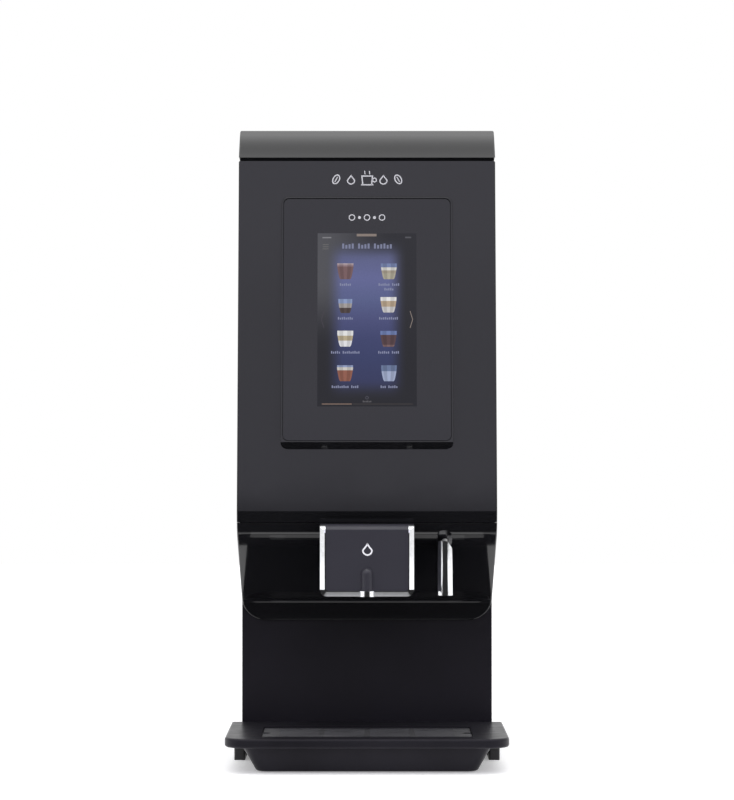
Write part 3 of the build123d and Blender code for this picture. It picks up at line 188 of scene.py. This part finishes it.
def metal(name, base, rough, grain=(1, 1, 1), grain_scale=900, depth=0.12, uneven=0.25):
    """Plated or brushed metal with directional grain."""
    shader = Shader(name, Metallic=1.0)
    lines = shader.noise(grain_scale, 3, stretch=grain)
    low = [value * 0.88 for value in base]
    shader.feed(shader.ramp(lines, (0.3, low), (0.7, base)), "Base Color")
    cloud = shader.noise(40, 3)
    shader.feed(shader.spread(cloud, rough * (1 - uneven), rough * (1 + uneven)), "Roughness")
    shader.bump(lines, depth, LINE_DEPTH)
    return shader.material


def frosted(name, base, rough, clear):
    """Translucent moulded plastic that light passes through softly."""
    shader = Shader(name, IOR=1.49, Transmission_Weight=clear)
    haze = shader.noise(25, 3)
    low = [value * 0.9 for value in base]
    shader.feed(shader.ramp(haze, (0.3, low), (0.7, base)), "Base Color")
    shader.feed(shader.spread(haze, rough * 0.8, rough * 1.2), "Roughness")
    return shader.material


MATERIALS = {
    "gloss_black": gloss_plastic("gloss_black", (0.0055, 0.0055, 0.0065), 0.045),
    "black_paint": moulded("black_powder_coat", (0.0062, 0.0057, 0.0092), 0.50, grain=0.4, sheen=0.3,
                           sheen_tint=(0.98, 0.93, 1.0)),
    "satin_black": moulded("satin_black_plastic", (0.016, 0.016, 0.017), 0.42, grain=0.3),
    "lid_black": moulded("satin_lid_plastic", (0.025, 0.025, 0.027), 0.36, grain=0.25),
    "tray_black": moulded("tray_black_plastic", (0.0158, 0.0152, 0.0188), 0.34, grain=0.25, sheen=0.13,
                          sheen_tint=(0.95, 0.90, 1.0)),
    "cover_grey": moulded("spout_cover_grey", (0.028, 0.027, 0.038), 0.42, spread=0.012, tint=0.03),
    "rubber": moulded("foot_rubber", (0.012, 0.012, 0.012), 0.75, grain=0.6),
    "white_plastic": moulded("natural_plastic", (0.72, 0.72, 0.69), 0.38, grain=0.1, tint=0.04),
    "valve_plastic": moulded("valve_nylon", (0.70, 0.69, 0.63), 0.42, grain=0.15, tint=0.06),
    "rocker_red": moulded("rocker_red_plastic", (0.42, 0.02, 0.02), 0.22, tint=0.08),
    "silicone_hose": frosted("silicone_hose", (0.80, 0.80, 0.77), 0.4, 0.25),
    "canister_clear": frosted("frosted_canister", (0.78, 0.80, 0.83), 0.32, 0.55),
    "mixer_clear": frosted("frosted_bowl", (0.82, 0.84, 0.86), 0.25, 0.6),
    "bright_trim": metal("chrome_trim", (0.86, 0.87, 0.89), 0.07, grain_scale=200, depth=0.02),
    "sheet_steel": metal("zinc_sheet", (0.52, 0.53, 0.55), 0.34, grain=(1, 0.1, 0.1)),
    "steel_fittings": metal("zinc_fittings", (0.60, 0.60, 0.60), 0.28),
    "motor_metal": metal("motor_can", (0.50, 0.50, 0.52), 0.30, grain=(0.1, 1, 1)),
    "display_back": metal("display_frame", (0.45, 0.46, 0.48), 0.35),
    "copper_pipe": metal("copper_pipe", (0.78, 0.43, 0.30), 0.24),
    "inlet_brass": metal("inlet_brass", (0.74, 0.56, 0.30), 0.25),
    "grille_steel": metal("grille_steel", (0.34, 0.34, 0.35), 0.45, grain=(0.06, 1, 1), depth=0.03,
                          uneven=0.08),
    "boiler_jacket": moulded("boiler_foam", (0.045, 0.045, 0.05), 0.8, grain=0.9),
    "circuit_board": moulded("circuit_board", (0.01, 0.10, 0.045), 0.35, tint=0.2),
    "screen_glass": gloss_plastic("touch_glass", (0.004, 0.004, 0.0055), 0.03),
}


# ---- mesh helpers ----
def piece(name, bm, material, body, angle=30.0, weighted=False):
    """Turn a bmesh into a named object that rides on a body, smooth except at sharp edges."""
    limit = radians(angle)
    for face in bm.faces:
        face.smooth = True
    for edge in bm.edges:
        edge.smooth = edge.is_manifold and edge.calc_face_angle(pi) < limit
    mesh = bpy.data.meshes.new(name)
    bm.to_mesh(mesh)
    bm.free()
    obj = bpy.data.objects.new(name, mesh)
    bpy.context.scene.collection.objects.link(obj)
    mesh.materials.append(MATERIALS[material] if isinstance(material, str) else material)
    if weighted:
        even = obj.modifiers.new("even_normals", "WEIGHTED_NORMAL")
        even.weight = 100
        even.keep_sharp = True
    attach(obj, body)
    return obj


SLOTS = {entry["node"]: entry["material_slot"] for entry in frame["record"]["subparts"]}
BODY_OF = {node: body for body, nodes in frame["record"]["behaviour"]["bodies"].items() for node in nodes}


def dress(node):
    """Give a CAD node its finish."""
    slots = frame["nodes"][node].data.materials
    slots.clear()
    slots.append(MATERIALS[SLOTS[node]])


SAME_PLACE = 0.002 * MM
SAME_PLANE = radians(0.2)


def smooth_copy(node, shape=None):
    """Stand in for a curved CAD node with a merged, smoothly shaded copy; shape may refine it."""
    bm = bmesh.new()
    bm.from_mesh(frame["nodes"][node].data)
    bmesh.ops.remove_doubles(bm, verts=bm.verts, dist=SAME_PLACE)
    bmesh.ops.dissolve_limit(bm, angle_limit=SAME_PLANE, verts=bm.verts, edges=bm.edges)
    if shape:
        shape(bm)
    skin = piece(node + "_skin", bm, SLOTS[node], BODY_OF[node], weighted=True)
    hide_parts(node)


# Nodes that need no smoothing: they keep their own mesh and only get their finish.
FLAT_NODES = ("base_plate", "side_panel_left", "side_panel_right", "rear_panel", "lower_front_panel",
              "bulkhead", "canister_shelf", "display_module", "display_cover", "display_board",
              "control_board", "lock_strike", "power_supply", "canister_lids", "drip_grille")

# The screen leans forwards with the door: so far out over so much height.
LEAN_OUT = 37 * MM
LEAN_HEIGHT = 248 * MM
SCREEN_LEAN = atan(LEAN_OUT / LEAN_HEIGHT)
BROW_FOOT = Vector((0, fwd(80 * MM), 614.2 * MM))
BROW_HEAD = Vector((0, fwd(57 * MM), 638.6 * MM))
BROW_BOW = 0.9 * MM
BROW_ROWS = 10
BROW_SKIN = 2 * MM


def bow_brow(bm):
    """Give the roof's sloping brow a slight outward curve."""
    along = BROW_HEAD - BROW_FOOT
    out = along.cross(Vector((-1, 0, 0))).normalized()
    for row in range(1, BROW_ROWS):
        level = BROW_FOOT.lerp(BROW_HEAD, row / BROW_ROWS)
        everything = bm.verts[:] + bm.edges[:] + bm.faces[:]
        bmesh.ops.bisect_plane(bm, geom=everything, plane_co=level, plane_no=along.normalized())
    for vert in bm.verts:
        share = (vert.co - BROW_FOOT).dot(along) / along.length_squared
        depth = (vert.co - BROW_FOOT).dot(out)
        if 0 < share < 1 and abs(depth) < BROW_SKIN:
            vert.co += out * BROW_BOW * 4 * share * (1 - share)


FACING_FRONT = 0.999
FACING_SIDE = 0.3
RIM_TURN = 0.5


def soften_front_rim(offset):
    """Give a shape step that rounds the edges where the leaning front face meets its sides."""
    out = Vector((0, -cos(SCREEN_LEAN), sin(SCREEN_LEAN)))

    def shape(bm):
        chosen = []
        for edge in bm.edges:
            if len(edge.link_faces) == 2:
                side, front = sorted(face.normal.dot(out) for face in edge.link_faces)
                turn = edge.calc_face_angle_signed(0)
                if front > FACING_FRONT and abs(side) < FACING_SIDE and turn > RIM_TURN:
                    chosen.append(edge)
        bmesh.ops.bevel(bm, geom=chosen, offset=offset, segments=3, profile=0.5, affect="EDGES",
                        material=-1, clamp_overlap=True)

    return shape


TRIM_TURN = 0.35
TRIM_EDGE_NEAR = 2 * MM
TRIM_EDGE_FAR = 3.1 * MM
TRIM_ROUNDING = 2.2 * MM


def round_trim(bm):
    """Round the outer edges of the bright band around the spout cover, where its slope begins."""
    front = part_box("spout_trim")[0].y
    chosen = [edge for edge in bm.edges
              if len(edge.link_faces) == 2 and edge.calc_face_angle_signed(0) > TRIM_TURN
              and all(TRIM_EDGE_NEAR < vert.co.y - front < TRIM_EDGE_FAR for vert in edge.verts)]
    bmesh.ops.bevel(bm, geom=chosen, offset=TRIM_ROUNDING, segments=4, profile=0.5, affect="EDGES",
                    material=-1, clamp_overlap=True)


SHAPES = {
    "roof_cap": bow_brow,
    "spout_trim": round_trim,
    "screen_bezel": soften_front_rim(0.8 * MM),
    "touch_glass": soften_front_rim(0.35 * MM),
}
for node in sorted(frame["nodes"]):
    if node in FLAT_NODES:
        dress(node)
    else:
        smooth_copy(node, SHAPES.get(node))


# ---- flat drawings: the screen picture and the printed marks ----
def linear(red, green, blue):
    """Linear light from 0 to 255 display values."""
    return [((v / 255 + 0.055) / 1.055) ** 2.4 if v > 10 else v / 3295 for v in (red, green, blue)]


def soft_step(value, low, high):
    """0 below low, 1 above high and smooth between them; low may be the larger one."""
    t = min(1, max(0, (value - low) / (high - low)))
    return t * t * (3 - 2 * t)


def blend_rgb(first, second, share):
    """Mix of two colours."""
    return [a + (b - a) * share for a, b in zip(first, second)]


# Height of one printed layer, in the millimetres of a drawing.
LAYER = 0.03
GLASS_ROWS = 16
GLASS_COLUMNS = 8


class Drawing:
    """Thin raised shapes on a flat surface, drawn in millimetres, each with its own tint."""

    def __init__(self):
        self.bm = bmesh.new()
        self.tint = self.bm.loops.layers.float_color.new("tint")

    def paint(self, faces, choose):
        """Tint every corner with the colour that choose gives for its place."""
        for face in faces:
            for loop in face.loops:
                loop[self.tint] = (*choose(loop.vert.co.x, loop.vert.co.y), 1)

    def raise_up(self, faces, level):
        """Turn flat faces into thin solid layers that sit a few layers above the surface."""
        verts = list({vert for face in faces for vert in face.verts})
        bmesh.ops.translate(self.bm, verts=verts, vec=(0, 0, LAYER * level))
        made = bmesh.ops.extrude_face_region(self.bm, geom=faces)["geom"]
        tops = [item for item in made if isinstance(item, bmesh.types.BMVert)]
        bmesh.ops.translate(self.bm, verts=tops, vec=(0, 0, LAYER))

    def new_faces(self, verts):
        """Faces that belong to the given fresh vertices."""
        return list({face for vert in verts for face in vert.link_faces})

    def bar(self, x, y, width, height, rgb, level=1, turn=0.0, columns=1, rows=1):
        """Rectangle around a middle point. rgb is a colour or a function of the place."""
        place = Matrix.Translation((x, y, 0)) @ Matrix.Rotation(turn, 4, "Z")
        scale = Matrix.Diagonal((width, height, 1, 1))
        verts = bmesh.ops.create_grid(self.bm, x_segments=columns, y_segments=rows, size=0.5,
                                      matrix=place @ scale)["verts"]
        faces = self.new_faces(verts)
        self.paint(faces, rgb if callable(rgb) else lambda u, v: rgb)
        self.raise_up(faces, level)

    def ring(self, x, y, radius, stroke, rgb, squeeze=1.0, turn=0.0, level=1, peak=0.0):
        """Closed outline: a circle that may be squeezed, turned or drawn up to a peak."""
        verts = bmesh.ops.create_circle(self.bm, cap_ends=True, segments=36, radius=radius)["verts"]
        for vert in verts:
            lift = max(0, vert.co.y / radius)
            vert.co.x *= squeeze * (1 - peak * lift ** 1.5)
            vert.co.y *= 1 + 0.7 * peak * lift ** 3
        faces = self.new_faces(verts)
        if stroke:
            inner = faces[0]
            inset = bmesh.ops.inset_region(self.bm, faces=faces, thickness=stroke, use_boundary=True,
                                           use_even_offset=True)
            faces = inset["faces"]
            bmesh.ops.delete(self.bm, geom=[inner], context="FACES")
        verts = list({vert for face in faces for vert in face.verts})
        place = Matrix.Translation((x, y, 0)) @ Matrix.Rotation(turn, 4, "Z")
        bmesh.ops.transform(self.bm, matrix=place, verts=verts)
        self.paint(faces, lambda u, v: rgb)
        self.raise_up(faces, level)

    def words(self, x, y, lengths, height, rgb, level=2, pitch=None):
        """Row of small blocks grouped like words, where a caption would stand."""
        pitch = pitch or height * 0.62
        total = pitch * (sum(lengths) + len(lengths) - 1)
        left = x - total / 2
        for length in lengths:
            for place in range(length):
                tall = height * (1, 0.72, 0.86)[place % 3]
                middle = left + pitch * (place + 0.5)
                self.bar(middle, y + (tall - height) / 2, pitch * 0.62, tall, rgb, level)
            left += pitch * (length + 1)

    def glass(self, x, y, width, height, bands, level=2):
        """Tapered drinking glass filled with bands of colour, given from the rim down."""
        made = bmesh.ops.create_grid(self.bm, x_segments=GLASS_COLUMNS, y_segments=GLASS_ROWS,
                                     size=0.5)["verts"]
        faces = self.new_faces(made)
        for face in faces:
            middle = face.calc_center_median()
            side = abs(middle.x)
            down = 0.5 - middle.y
            shade = linear(*next(rgb for limit, rgb in bands if down <= limit))
            light = 0.72 + 0.3 * soft_step(side, 0.16, 0.02) + 0.2 * soft_step(side, 0.36, 0.46)
            lit = [min(1, value * light) for value in shade]
            self.paint([face], lambda u, v: lit)
        for vert in made:
            up = vert.co.y + 0.5
            vert.co.x *= width * (0.60 + 0.40 * min(1, up * 1.25) ** 0.55)
            vert.co.y *= height
        bmesh.ops.translate(self.bm, verts=made, vec=(x, y, 0))
        self.raise_up(faces, level)

    def build(self, name, material, body, place):
        """Finish the drawing, put it in place and let it ride on a body."""
        bmesh.ops.recalc_face_normals(self.bm, faces=self.bm.faces)
        self.bm.transform(place @ Matrix.Scale(MM, 4))
        return piece(name, self.bm, material, body, 20)


def on_plane(x, y, z, lean):
    """Frame of a flat front surface: its middle, X across, Y up along it and Z out of it."""
    return Matrix.Translation((x, y, z)) @ Matrix.Rotation(pi / 2 - lean, 4, "X")


def tinted(name, glow, rough, specular):
    """Material that takes its colour from the tint of each corner; glow makes it a lit picture."""
    shader = Shader(name, Roughness=rough, Specular_IOR_Level=specular)
    tint = shader.add("ShaderNodeAttribute", attribute_name="tint")
    grain = shader.spread(shader.noise(900, 2), 0.96, 1.04)
    mix = shader.add("ShaderNodeMix", data_type="RGBA", blend_type="MULTIPLY")
    mix.inputs["Factor"].default_value = 1
    shader.link(tint.outputs["Color"], mix.inputs["A"])
    shader.link(grain, mix.inputs["B"])
    if glow:
        shader.feed(mix.outputs["Result"], "Emission Color")
        shader.main.inputs["Emission Strength"].default_value = glow
        shader.main.inputs["Base Color"].default_value = BLACK
    else:
        shader.feed(mix.outputs["Result"], "Base Color")
    return shader.material


# Lit part of the screen, in the millimetres of a drawing, and the height of its middle.
SCREEN_WIDTH = 99.6
SCREEN_HEIGHT = 177.0
SCREEN_Z = 449 * MM
GLASS_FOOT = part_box("touch_glass")[0]
SCREEN_Y = GLASS_FOOT.y + (SCREEN_Z - GLASS_FOOT.z) * tan(SCREEN_LEAN)
SCREEN_PLACE = on_plane(0, SCREEN_Y, SCREEN_Z, SCREEN_LEAN)

# Colours of the menu panel from its top to its foot, by height above the middle.
BLUE_DOWN = ((75, (80, 84, 112)), (64, (93, 97, 133)), (42, (99, 103, 147)), (20, (88, 95, 135)),
             (0, (76, 80, 120)), (-20, (64, 69, 107)), (-40, (59, 65, 101)), (-62, (57, 61, 94)),
             (-78, (52, 53, 68)))


def blue_at(height):
    """Blue of the menu panel at a height on the screen."""
    for (top, upper), (low, lower) in zip(BLUE_DOWN, BLUE_DOWN[1:]):
        if height >= low:
            return blend_rgb(lower, upper, min(1, (height - low) / (top - low)))
    return BLUE_DOWN[-1][1]


def screen_rgb(x, y):
    """Menu background: dark grey with a soft haze at the upper left and a blue glow in the middle."""
    haze = 34 * soft_step(x, 30, -50) * soft_step(y, -30, 40) + 6 * soft_step(y, -60, 60)
    grey = [42 + haze, 42 + haze, 47 + haze]
    wide = 1 - soft_step(abs(x + 1), 22, 41)
    tall = soft_step(y, 84, 60) * soft_step(y, -84, -64)
    return linear(*blend_rgb(grey, blue_at(y), wide * tall))


# Drinks of the menu: place, size and the colours inside the glass from the rim down.
GLASS_TINT = (120, 132, 172)
DRINKS = (
    (-21.8, 49.3, 16.4, 16.2, ((0.09, (190, 172, 176)), (0.20, (150, 128, 134)), (1.0, (122, 96, 98)))),
    (22.0, 49.3, 16.0, 16.2, ((0.26, GLASS_TINT), (0.44, (214, 212, 208)), (0.62, (168, 158, 142)),
                              (1.0, (176, 170, 152)))),
    (-21.8, 13.7, 14.0, 14.4, ((0.34, (142, 158, 196)), (0.62, (166, 160, 158)), (1.0, (84, 72, 70)))),
    (21.6, 15.0, 16.0, 15.8, ((0.26, (232, 231, 230)), (0.62, (186, 166, 142)), (1.0, (206, 204, 204)))),
    (-21.8, -19.6, 16.0, 16.2, ((0.32, (228, 228, 228)), (0.60, (184, 170, 142)), (1.0, (226, 226, 230)))),
    (21.6, -19.8, 16.4, 16.2, ((0.28, (112, 128, 176)), (0.90, (92, 72, 76)), (1.0, (124, 98, 98)))),
    (-22.0, -54.8, 16.0, 16.2, ((0.14, (146, 158, 192)), (0.34, (206, 202, 196)), (1.0, (146, 96, 82)))),
    (22.0, -54.8, 15.6, 16.2, ((0.36, (110, 124, 158)), (1.0, (164, 174, 204)))),
)
# Captions under them: place and the lengths of the words.
CAPTIONS = (
    (-21.8, 35.8, (6,)), (22.0, 35.8, (6, 4)), (22.0, 31.0, (5,)), (-21.8, 1.2, (8,)), (21.6, 1.2, (10,)),
    (-21.8, -33.5, (5, 9)), (21.6, -33.5, (6, 4)), (-22.0, -68.5, (9, 4)), (22.0, -68.5, (3, 5)),
)


def screen_menu():
    """Menu with eight drinks; every caption is a row of blocks and says nothing."""
    picture = Drawing()
    picture.bar(0, 0, SCREEN_WIDTH, SCREEN_HEIGHT, screen_rgb, columns=28, rows=44)
    pale = linear(134, 138, 166)
    picture.words(0, 75.3, (4, 4, 6), 5.2, linear(124, 128, 154), pitch=3.2)
    for x, y, lengths in CAPTIONS:
        picture.words(x, y, lengths, 2.6, pale, pitch=1.95)
    for x, y, width, height, bands in DRINKS:
        picture.glass(x, y, width, height, bands)
    for row in (-1, 0, 1):
        picture.bar(-41.7, 74.6 + row * 2.2, 6.0, 0.8, linear(104, 104, 104), 2)
    picture.bar(-40.5, 84.0, 9.0, 1.3, linear(126, 126, 130), 2)
    picture.bar(41.5, 84.2, 6.0, 1.6, linear(84, 84, 90), 2)
    picture.bar(-0.4, 86.6, 20.0, 2.6, linear(134, 122, 116), 2)
    for side, shade in ((-1, linear(70, 66, 74)), (1, linear(138, 126, 120))):
        for half in (-1, 1):
            picture.bar(side * 44.6, half * 4.2, 0.7, 9.2, shade, 2, turn=side * half * 0.30)
    picture.ring(0, -79.6, 1.6, 0.5, linear(82, 82, 92), level=2)
    picture.words(0, -83.4, (6,), 1.8, linear(96, 94, 98), pitch=1.5)
    picture.bar(-30.2, -86.0, 30.0, 1.0, linear(128, 108, 98), 2)
    picture.bar(15.8, -86.0, 60.0, 0.8, linear(66, 62, 62), 2)
    lit = tinted("lit_screen", 1.0, 0.16, 0.10)
    picture.build("screen_menu", lit, "door", SCREEN_PLACE)


PRINT = linear(196, 196, 200)
PRINT_BRIGHT = linear(226, 226, 230)
PRINT_SILVER = tinted("printed_silver", 0, 0.42, 0.4)
# The door's face: its lean, and how far forward it is at one height.
DOOR_LEAN = radians(6.7)
DOOR_FACE_D = 80.5 * MM
DOOR_FACE_Z = 610.6 * MM
DOOR_MARKS_DOWN = 18.8 * MM
BEZEL_MARKS_UP = 104.8 * MM
SPOUT_FACE_Y = fwd(149 * MM)
SPOUT_MARK_Z = 219 * MM


def bean(drawing, x, y, size, turn):
    """Coffee bean: an oval outline with a split down the middle."""
    drawing.ring(x, y, size, 1.15, PRINT, squeeze=0.68, turn=turn)
    drawing.bar(x, y, 1.0, size * 1.1, PRINT, turn=turn)


def door_marks():
    """Plain pictograms at the top of the door, where a maker's word would stand."""
    marks = Drawing()
    for side in (-1, 1):
        bean(marks, side * 31.4, 0, 5.4, side * 0.5)
        marks.ring(side * 16.4, -1.2, 4.2, 1.15, PRINT, peak=0.62)
    marks.bar(0, -5.6, 12.5, 1.2, PRINT)
    marks.bar(-4.9, -1.2, 1.2, 8.6, PRINT, turn=0.10)
    marks.bar(4.9, -1.2, 1.2, 8.6, PRINT, turn=-0.10)
    marks.bar(0, 3.4, 12.2, 1.2, PRINT)
    marks.ring(7.4, -0.6, 2.5, 1.05, PRINT)
    for x in (-2.4, 2.4):
        marks.bar(x, 6.9, 1.0, 3.6, PRINT, turn=0.12)
    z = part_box("door_shell")[1].z - DOOR_MARKS_DOWN
    y = fwd(DOOR_FACE_D + (DOOR_FACE_Z - z) * tan(DOOR_LEAN))
    place = on_plane(0.2 * MM, y, z, DOOR_LEAN)
    marks.build("door_pictograms", PRINT_SILVER, "door", place)


def bezel_marks():
    """Small row of plain marks above the screen."""
    marks = Drawing()
    for index in range(5):
        x = (index - 2) * 7.6
        if index % 2:
            marks.ring(x, 0, 1.5, 0, PRINT)
        else:
            marks.ring(x, 0, 3.3, 0.95, PRINT)
    place = SCREEN_PLACE @ Matrix.Translation((0, BEZEL_MARKS_UP, 0))
    marks.build("bezel_pictograms", PRINT_SILVER, "door", place)


def spout_mark():
    """Drop on the spout cover."""
    mark = Drawing()
    mark.ring(0, 0, 5.2, 1.5, PRINT_BRIGHT, peak=0.66)
    place = on_plane(0.4 * MM, SPOUT_FACE_Y, SPOUT_MARK_Z, 0)
    mark.build("drop_pictogram", PRINT_SILVER, "cabinet", place)


screen_menu()
door_marks()
bezel_marks()
spout_mark()


# ---- light and floor ----
def elevation_ramp(add, links, height, stops, peak):
    """Brightness by elevation in degrees, as a colour ramp over the sine of the elevation."""
    spread = add("ShaderNodeMapRange")
    spread.inputs["From Min"].default_value = -1
    links.new(height, spread.inputs["Value"])
    ramp = add("ShaderNodeValToRGB")
    points = ramp.color_ramp.elements
    while len(points) < len(stops):
        points.new(0.5)
    for point, (degrees, level, tint) in zip(points, stops):
        point.position = (sin(radians(degrees)) + 1) / 2
        point.color = (*(level / peak * value for value in tint), 1)
    links.new(spread.outputs["Result"], ramp.inputs["Fac"])
    return ramp.outputs["Color"]


WHITE = (1.0, 1.0, 1.0)
COOL = (1.0, 0.985, 1.13)
PEAK = 5.0
# Elevation in degrees, brightness and tint of the studio wall.
FRONT_STOPS = ((-90, 0.03, WHITE), (11.3, 0.03, WHITE), (12.1, 0.93, COOL), (16, 0.98, COOL),
               (17.6, 1.10, COOL), (30, 1.10, COOL), (62, 0.95, WHITE), (79, 0.50, WHITE), (90, 1.7, WHITE))
REAR_STOPS = ((-90, 0.03, WHITE), (-12, 0.03, WHITE), (-9, 1.0, WHITE), (45, 1.1, WHITE), (64, 2.2, WHITE),
              (77, 2.7, WHITE), (90, 1.7, WHITE))
# The wall in front gives way to the one behind between these parts of a direction along Y.
FRONT_ENDS = -0.62
REAR_BEGINS = -0.45


def make_world():
    """White studio: bright behind the machine and above it, a soft wall ahead, dark low in front."""
    world = bpy.data.worlds.new("studio")
    bpy.context.scene.world = world
    world.use_nodes = True
    nodes, links = world.node_tree.nodes, world.node_tree.links
    nodes.clear()

    def add(kind, **settings):
        node = nodes.new(kind)
        for key, value in settings.items():
            setattr(node, key, value)
        return node

    parts = add("ShaderNodeSeparateXYZ")
    links.new(add("ShaderNodeTexCoord").outputs["Generated"], parts.inputs["Vector"])
    front = elevation_ramp(add, links, parts.outputs["Z"], FRONT_STOPS, PEAK)
    rear = elevation_ramp(add, links, parts.outputs["Z"], REAR_STOPS, PEAK)
    behind = add("ShaderNodeMapRange", interpolation_type="SMOOTHSTEP")
    behind.inputs["From Min"].default_value = FRONT_ENDS
    behind.inputs["From Max"].default_value = REAR_BEGINS
    links.new(parts.outputs["Y"], behind.inputs["Value"])
    blend = add("ShaderNodeMix", data_type="RGBA")
    links.new(behind.outputs["Result"], blend.inputs["Factor"])
    links.new(front, blend.inputs["A"])
    links.new(rear, blend.inputs["B"])
    lit = add("ShaderNodeBackground")
    lit.inputs["Strength"].default_value = PEAK
    links.new(blend.outputs["Result"], lit.inputs["Color"])
    seen = add("ShaderNodeBackground")
    seen.inputs["Color"].default_value = (*WHITE, 1)
    mix = add("ShaderNodeMixShader")
    links.new(add("ShaderNodeLightPath").outputs["Is Camera Ray"], mix.inputs["Fac"])
    links.new(lit.outputs["Background"], mix.inputs[1])
    links.new(seen.outputs["Background"], mix.inputs[2])
    links.new(mix.outputs["Shader"], add("ShaderNodeOutputWorld").inputs["Surface"])


make_world()

STRIP_LEVEL = 0.8
STRIP_WIDTH = 0.25
STRIP_DEPTH = 0.095
STRIP_D = 0.1475
STRIP_Z = 0.037


def low_strip():
    """Soft strip of light over the tray that the underside of the front moulding mirrors."""
    light = bpy.data.lights.new("low_strip", "AREA")
    light.shape = "RECTANGLE"
    light.size = STRIP_WIDTH
    light.size_y = STRIP_DEPTH
    light.energy = STRIP_LEVEL * pi * STRIP_WIDTH * STRIP_DEPTH
    strip = bpy.data.objects.new("low_strip", light)
    strip.location = (0, fwd(STRIP_D), STRIP_Z)
    strip.rotation_euler = (pi, 0, 0)
    strip.visible_camera = False
    strip.visible_diffuse = False
    strip.visible_transmission = False
    bpy.context.scene.collection.objects.link(strip)


low_strip()

FLOOR_HALF = 4.0
FLOOR_GLOW = 0.28
# Polished faces see the floor as dark beyond this distance in front and within this half width: a painted
# dark reflection, not real shade.
FLOOR_SEEN = 0.204
FLOOR_FADE = 0.02
FLOOR_DARK_HALF = 2.2
FLOOR_DARK_FADE = 0.1
FLOOR_DARK = (0.02, 0.02, 0.02, 1)


def multiply(shader, first, second):
    """Product of two numbers in a material."""
    node = shader.add("ShaderNodeMath", operation="MULTIPLY")
    shader.link(first, node.inputs[0])
    shader.link(second, node.inputs[1])
    return node.outputs["Value"]


def make_floor():
    """Plain pale floor. Polished faces see it only close to the machine: farther out its colour is painted
    dark for reflections alone, a painted dark reflection like that of a dark-fronted studio.
    """
    bm = bmesh.new()
    bmesh.ops.create_grid(bm, x_segments=1, y_segments=1, size=FLOOR_HALF)
    mesh = bpy.data.meshes.new("floor")
    bm.to_mesh(mesh)
    bm.free()
    floor = bpy.data.objects.new("floor", mesh)
    bpy.context.scene.collection.objects.link(floor)
    shader = Shader("pale_floor", Roughness=0.9, Specular_IOR_Level=0, Emission_Color=(*WHITE, 1),
                    Emission_Strength=FLOOR_GLOW)
    drift = shader.noise(3, 2)
    shader.feed(shader.ramp(drift, (0.3, (0.88, 0.88, 0.88)), (0.7, (0.9, 0.9, 0.9))), "Base Color")
    parts = shader.add("ShaderNodeSeparateXYZ")
    shader.link(shader.place, parts.inputs["Vector"])
    far = shader.spread(parts.outputs["Y"], 0, 1, fwd(FLOOR_SEEN - FLOOR_FADE), fwd(FLOOR_SEEN + FLOOR_FADE))
    side = shader.add("ShaderNodeMath", operation="ABSOLUTE")
    shader.link(parts.outputs["X"], side.inputs[0])
    middle = shader.spread(side.outputs["Value"], 0, 1, FLOOR_DARK_HALF, FLOOR_DARK_HALF - FLOOR_DARK_FADE)
    glossy = shader.add("ShaderNodeLightPath").outputs["Is Glossy Ray"]
    # Painted dark reflection: glossy rays that meet the floor far in front and within the middle see a dark
    # colour in place of the pale floor.
    painted_dark_reflection = multiply(shader, multiply(shader, far, glossy), middle)
    dark = shader.add("ShaderNodeBsdfDiffuse")
    dark.inputs["Color"].default_value = FLOOR_DARK
    mix = shader.add("ShaderNodeMixShader")
    shader.link(painted_dark_reflection, mix.inputs["Fac"])
    shader.link(shader.main.outputs["BSDF"], mix.inputs[1])
    shader.link(dark.outputs["BSDF"], mix.inputs[2])
    shader.link(mix.outputs["Shader"], shader.tree.nodes["Material Output"].inputs["Surface"])
    mesh.materials.append(shader.material)


make_floor()
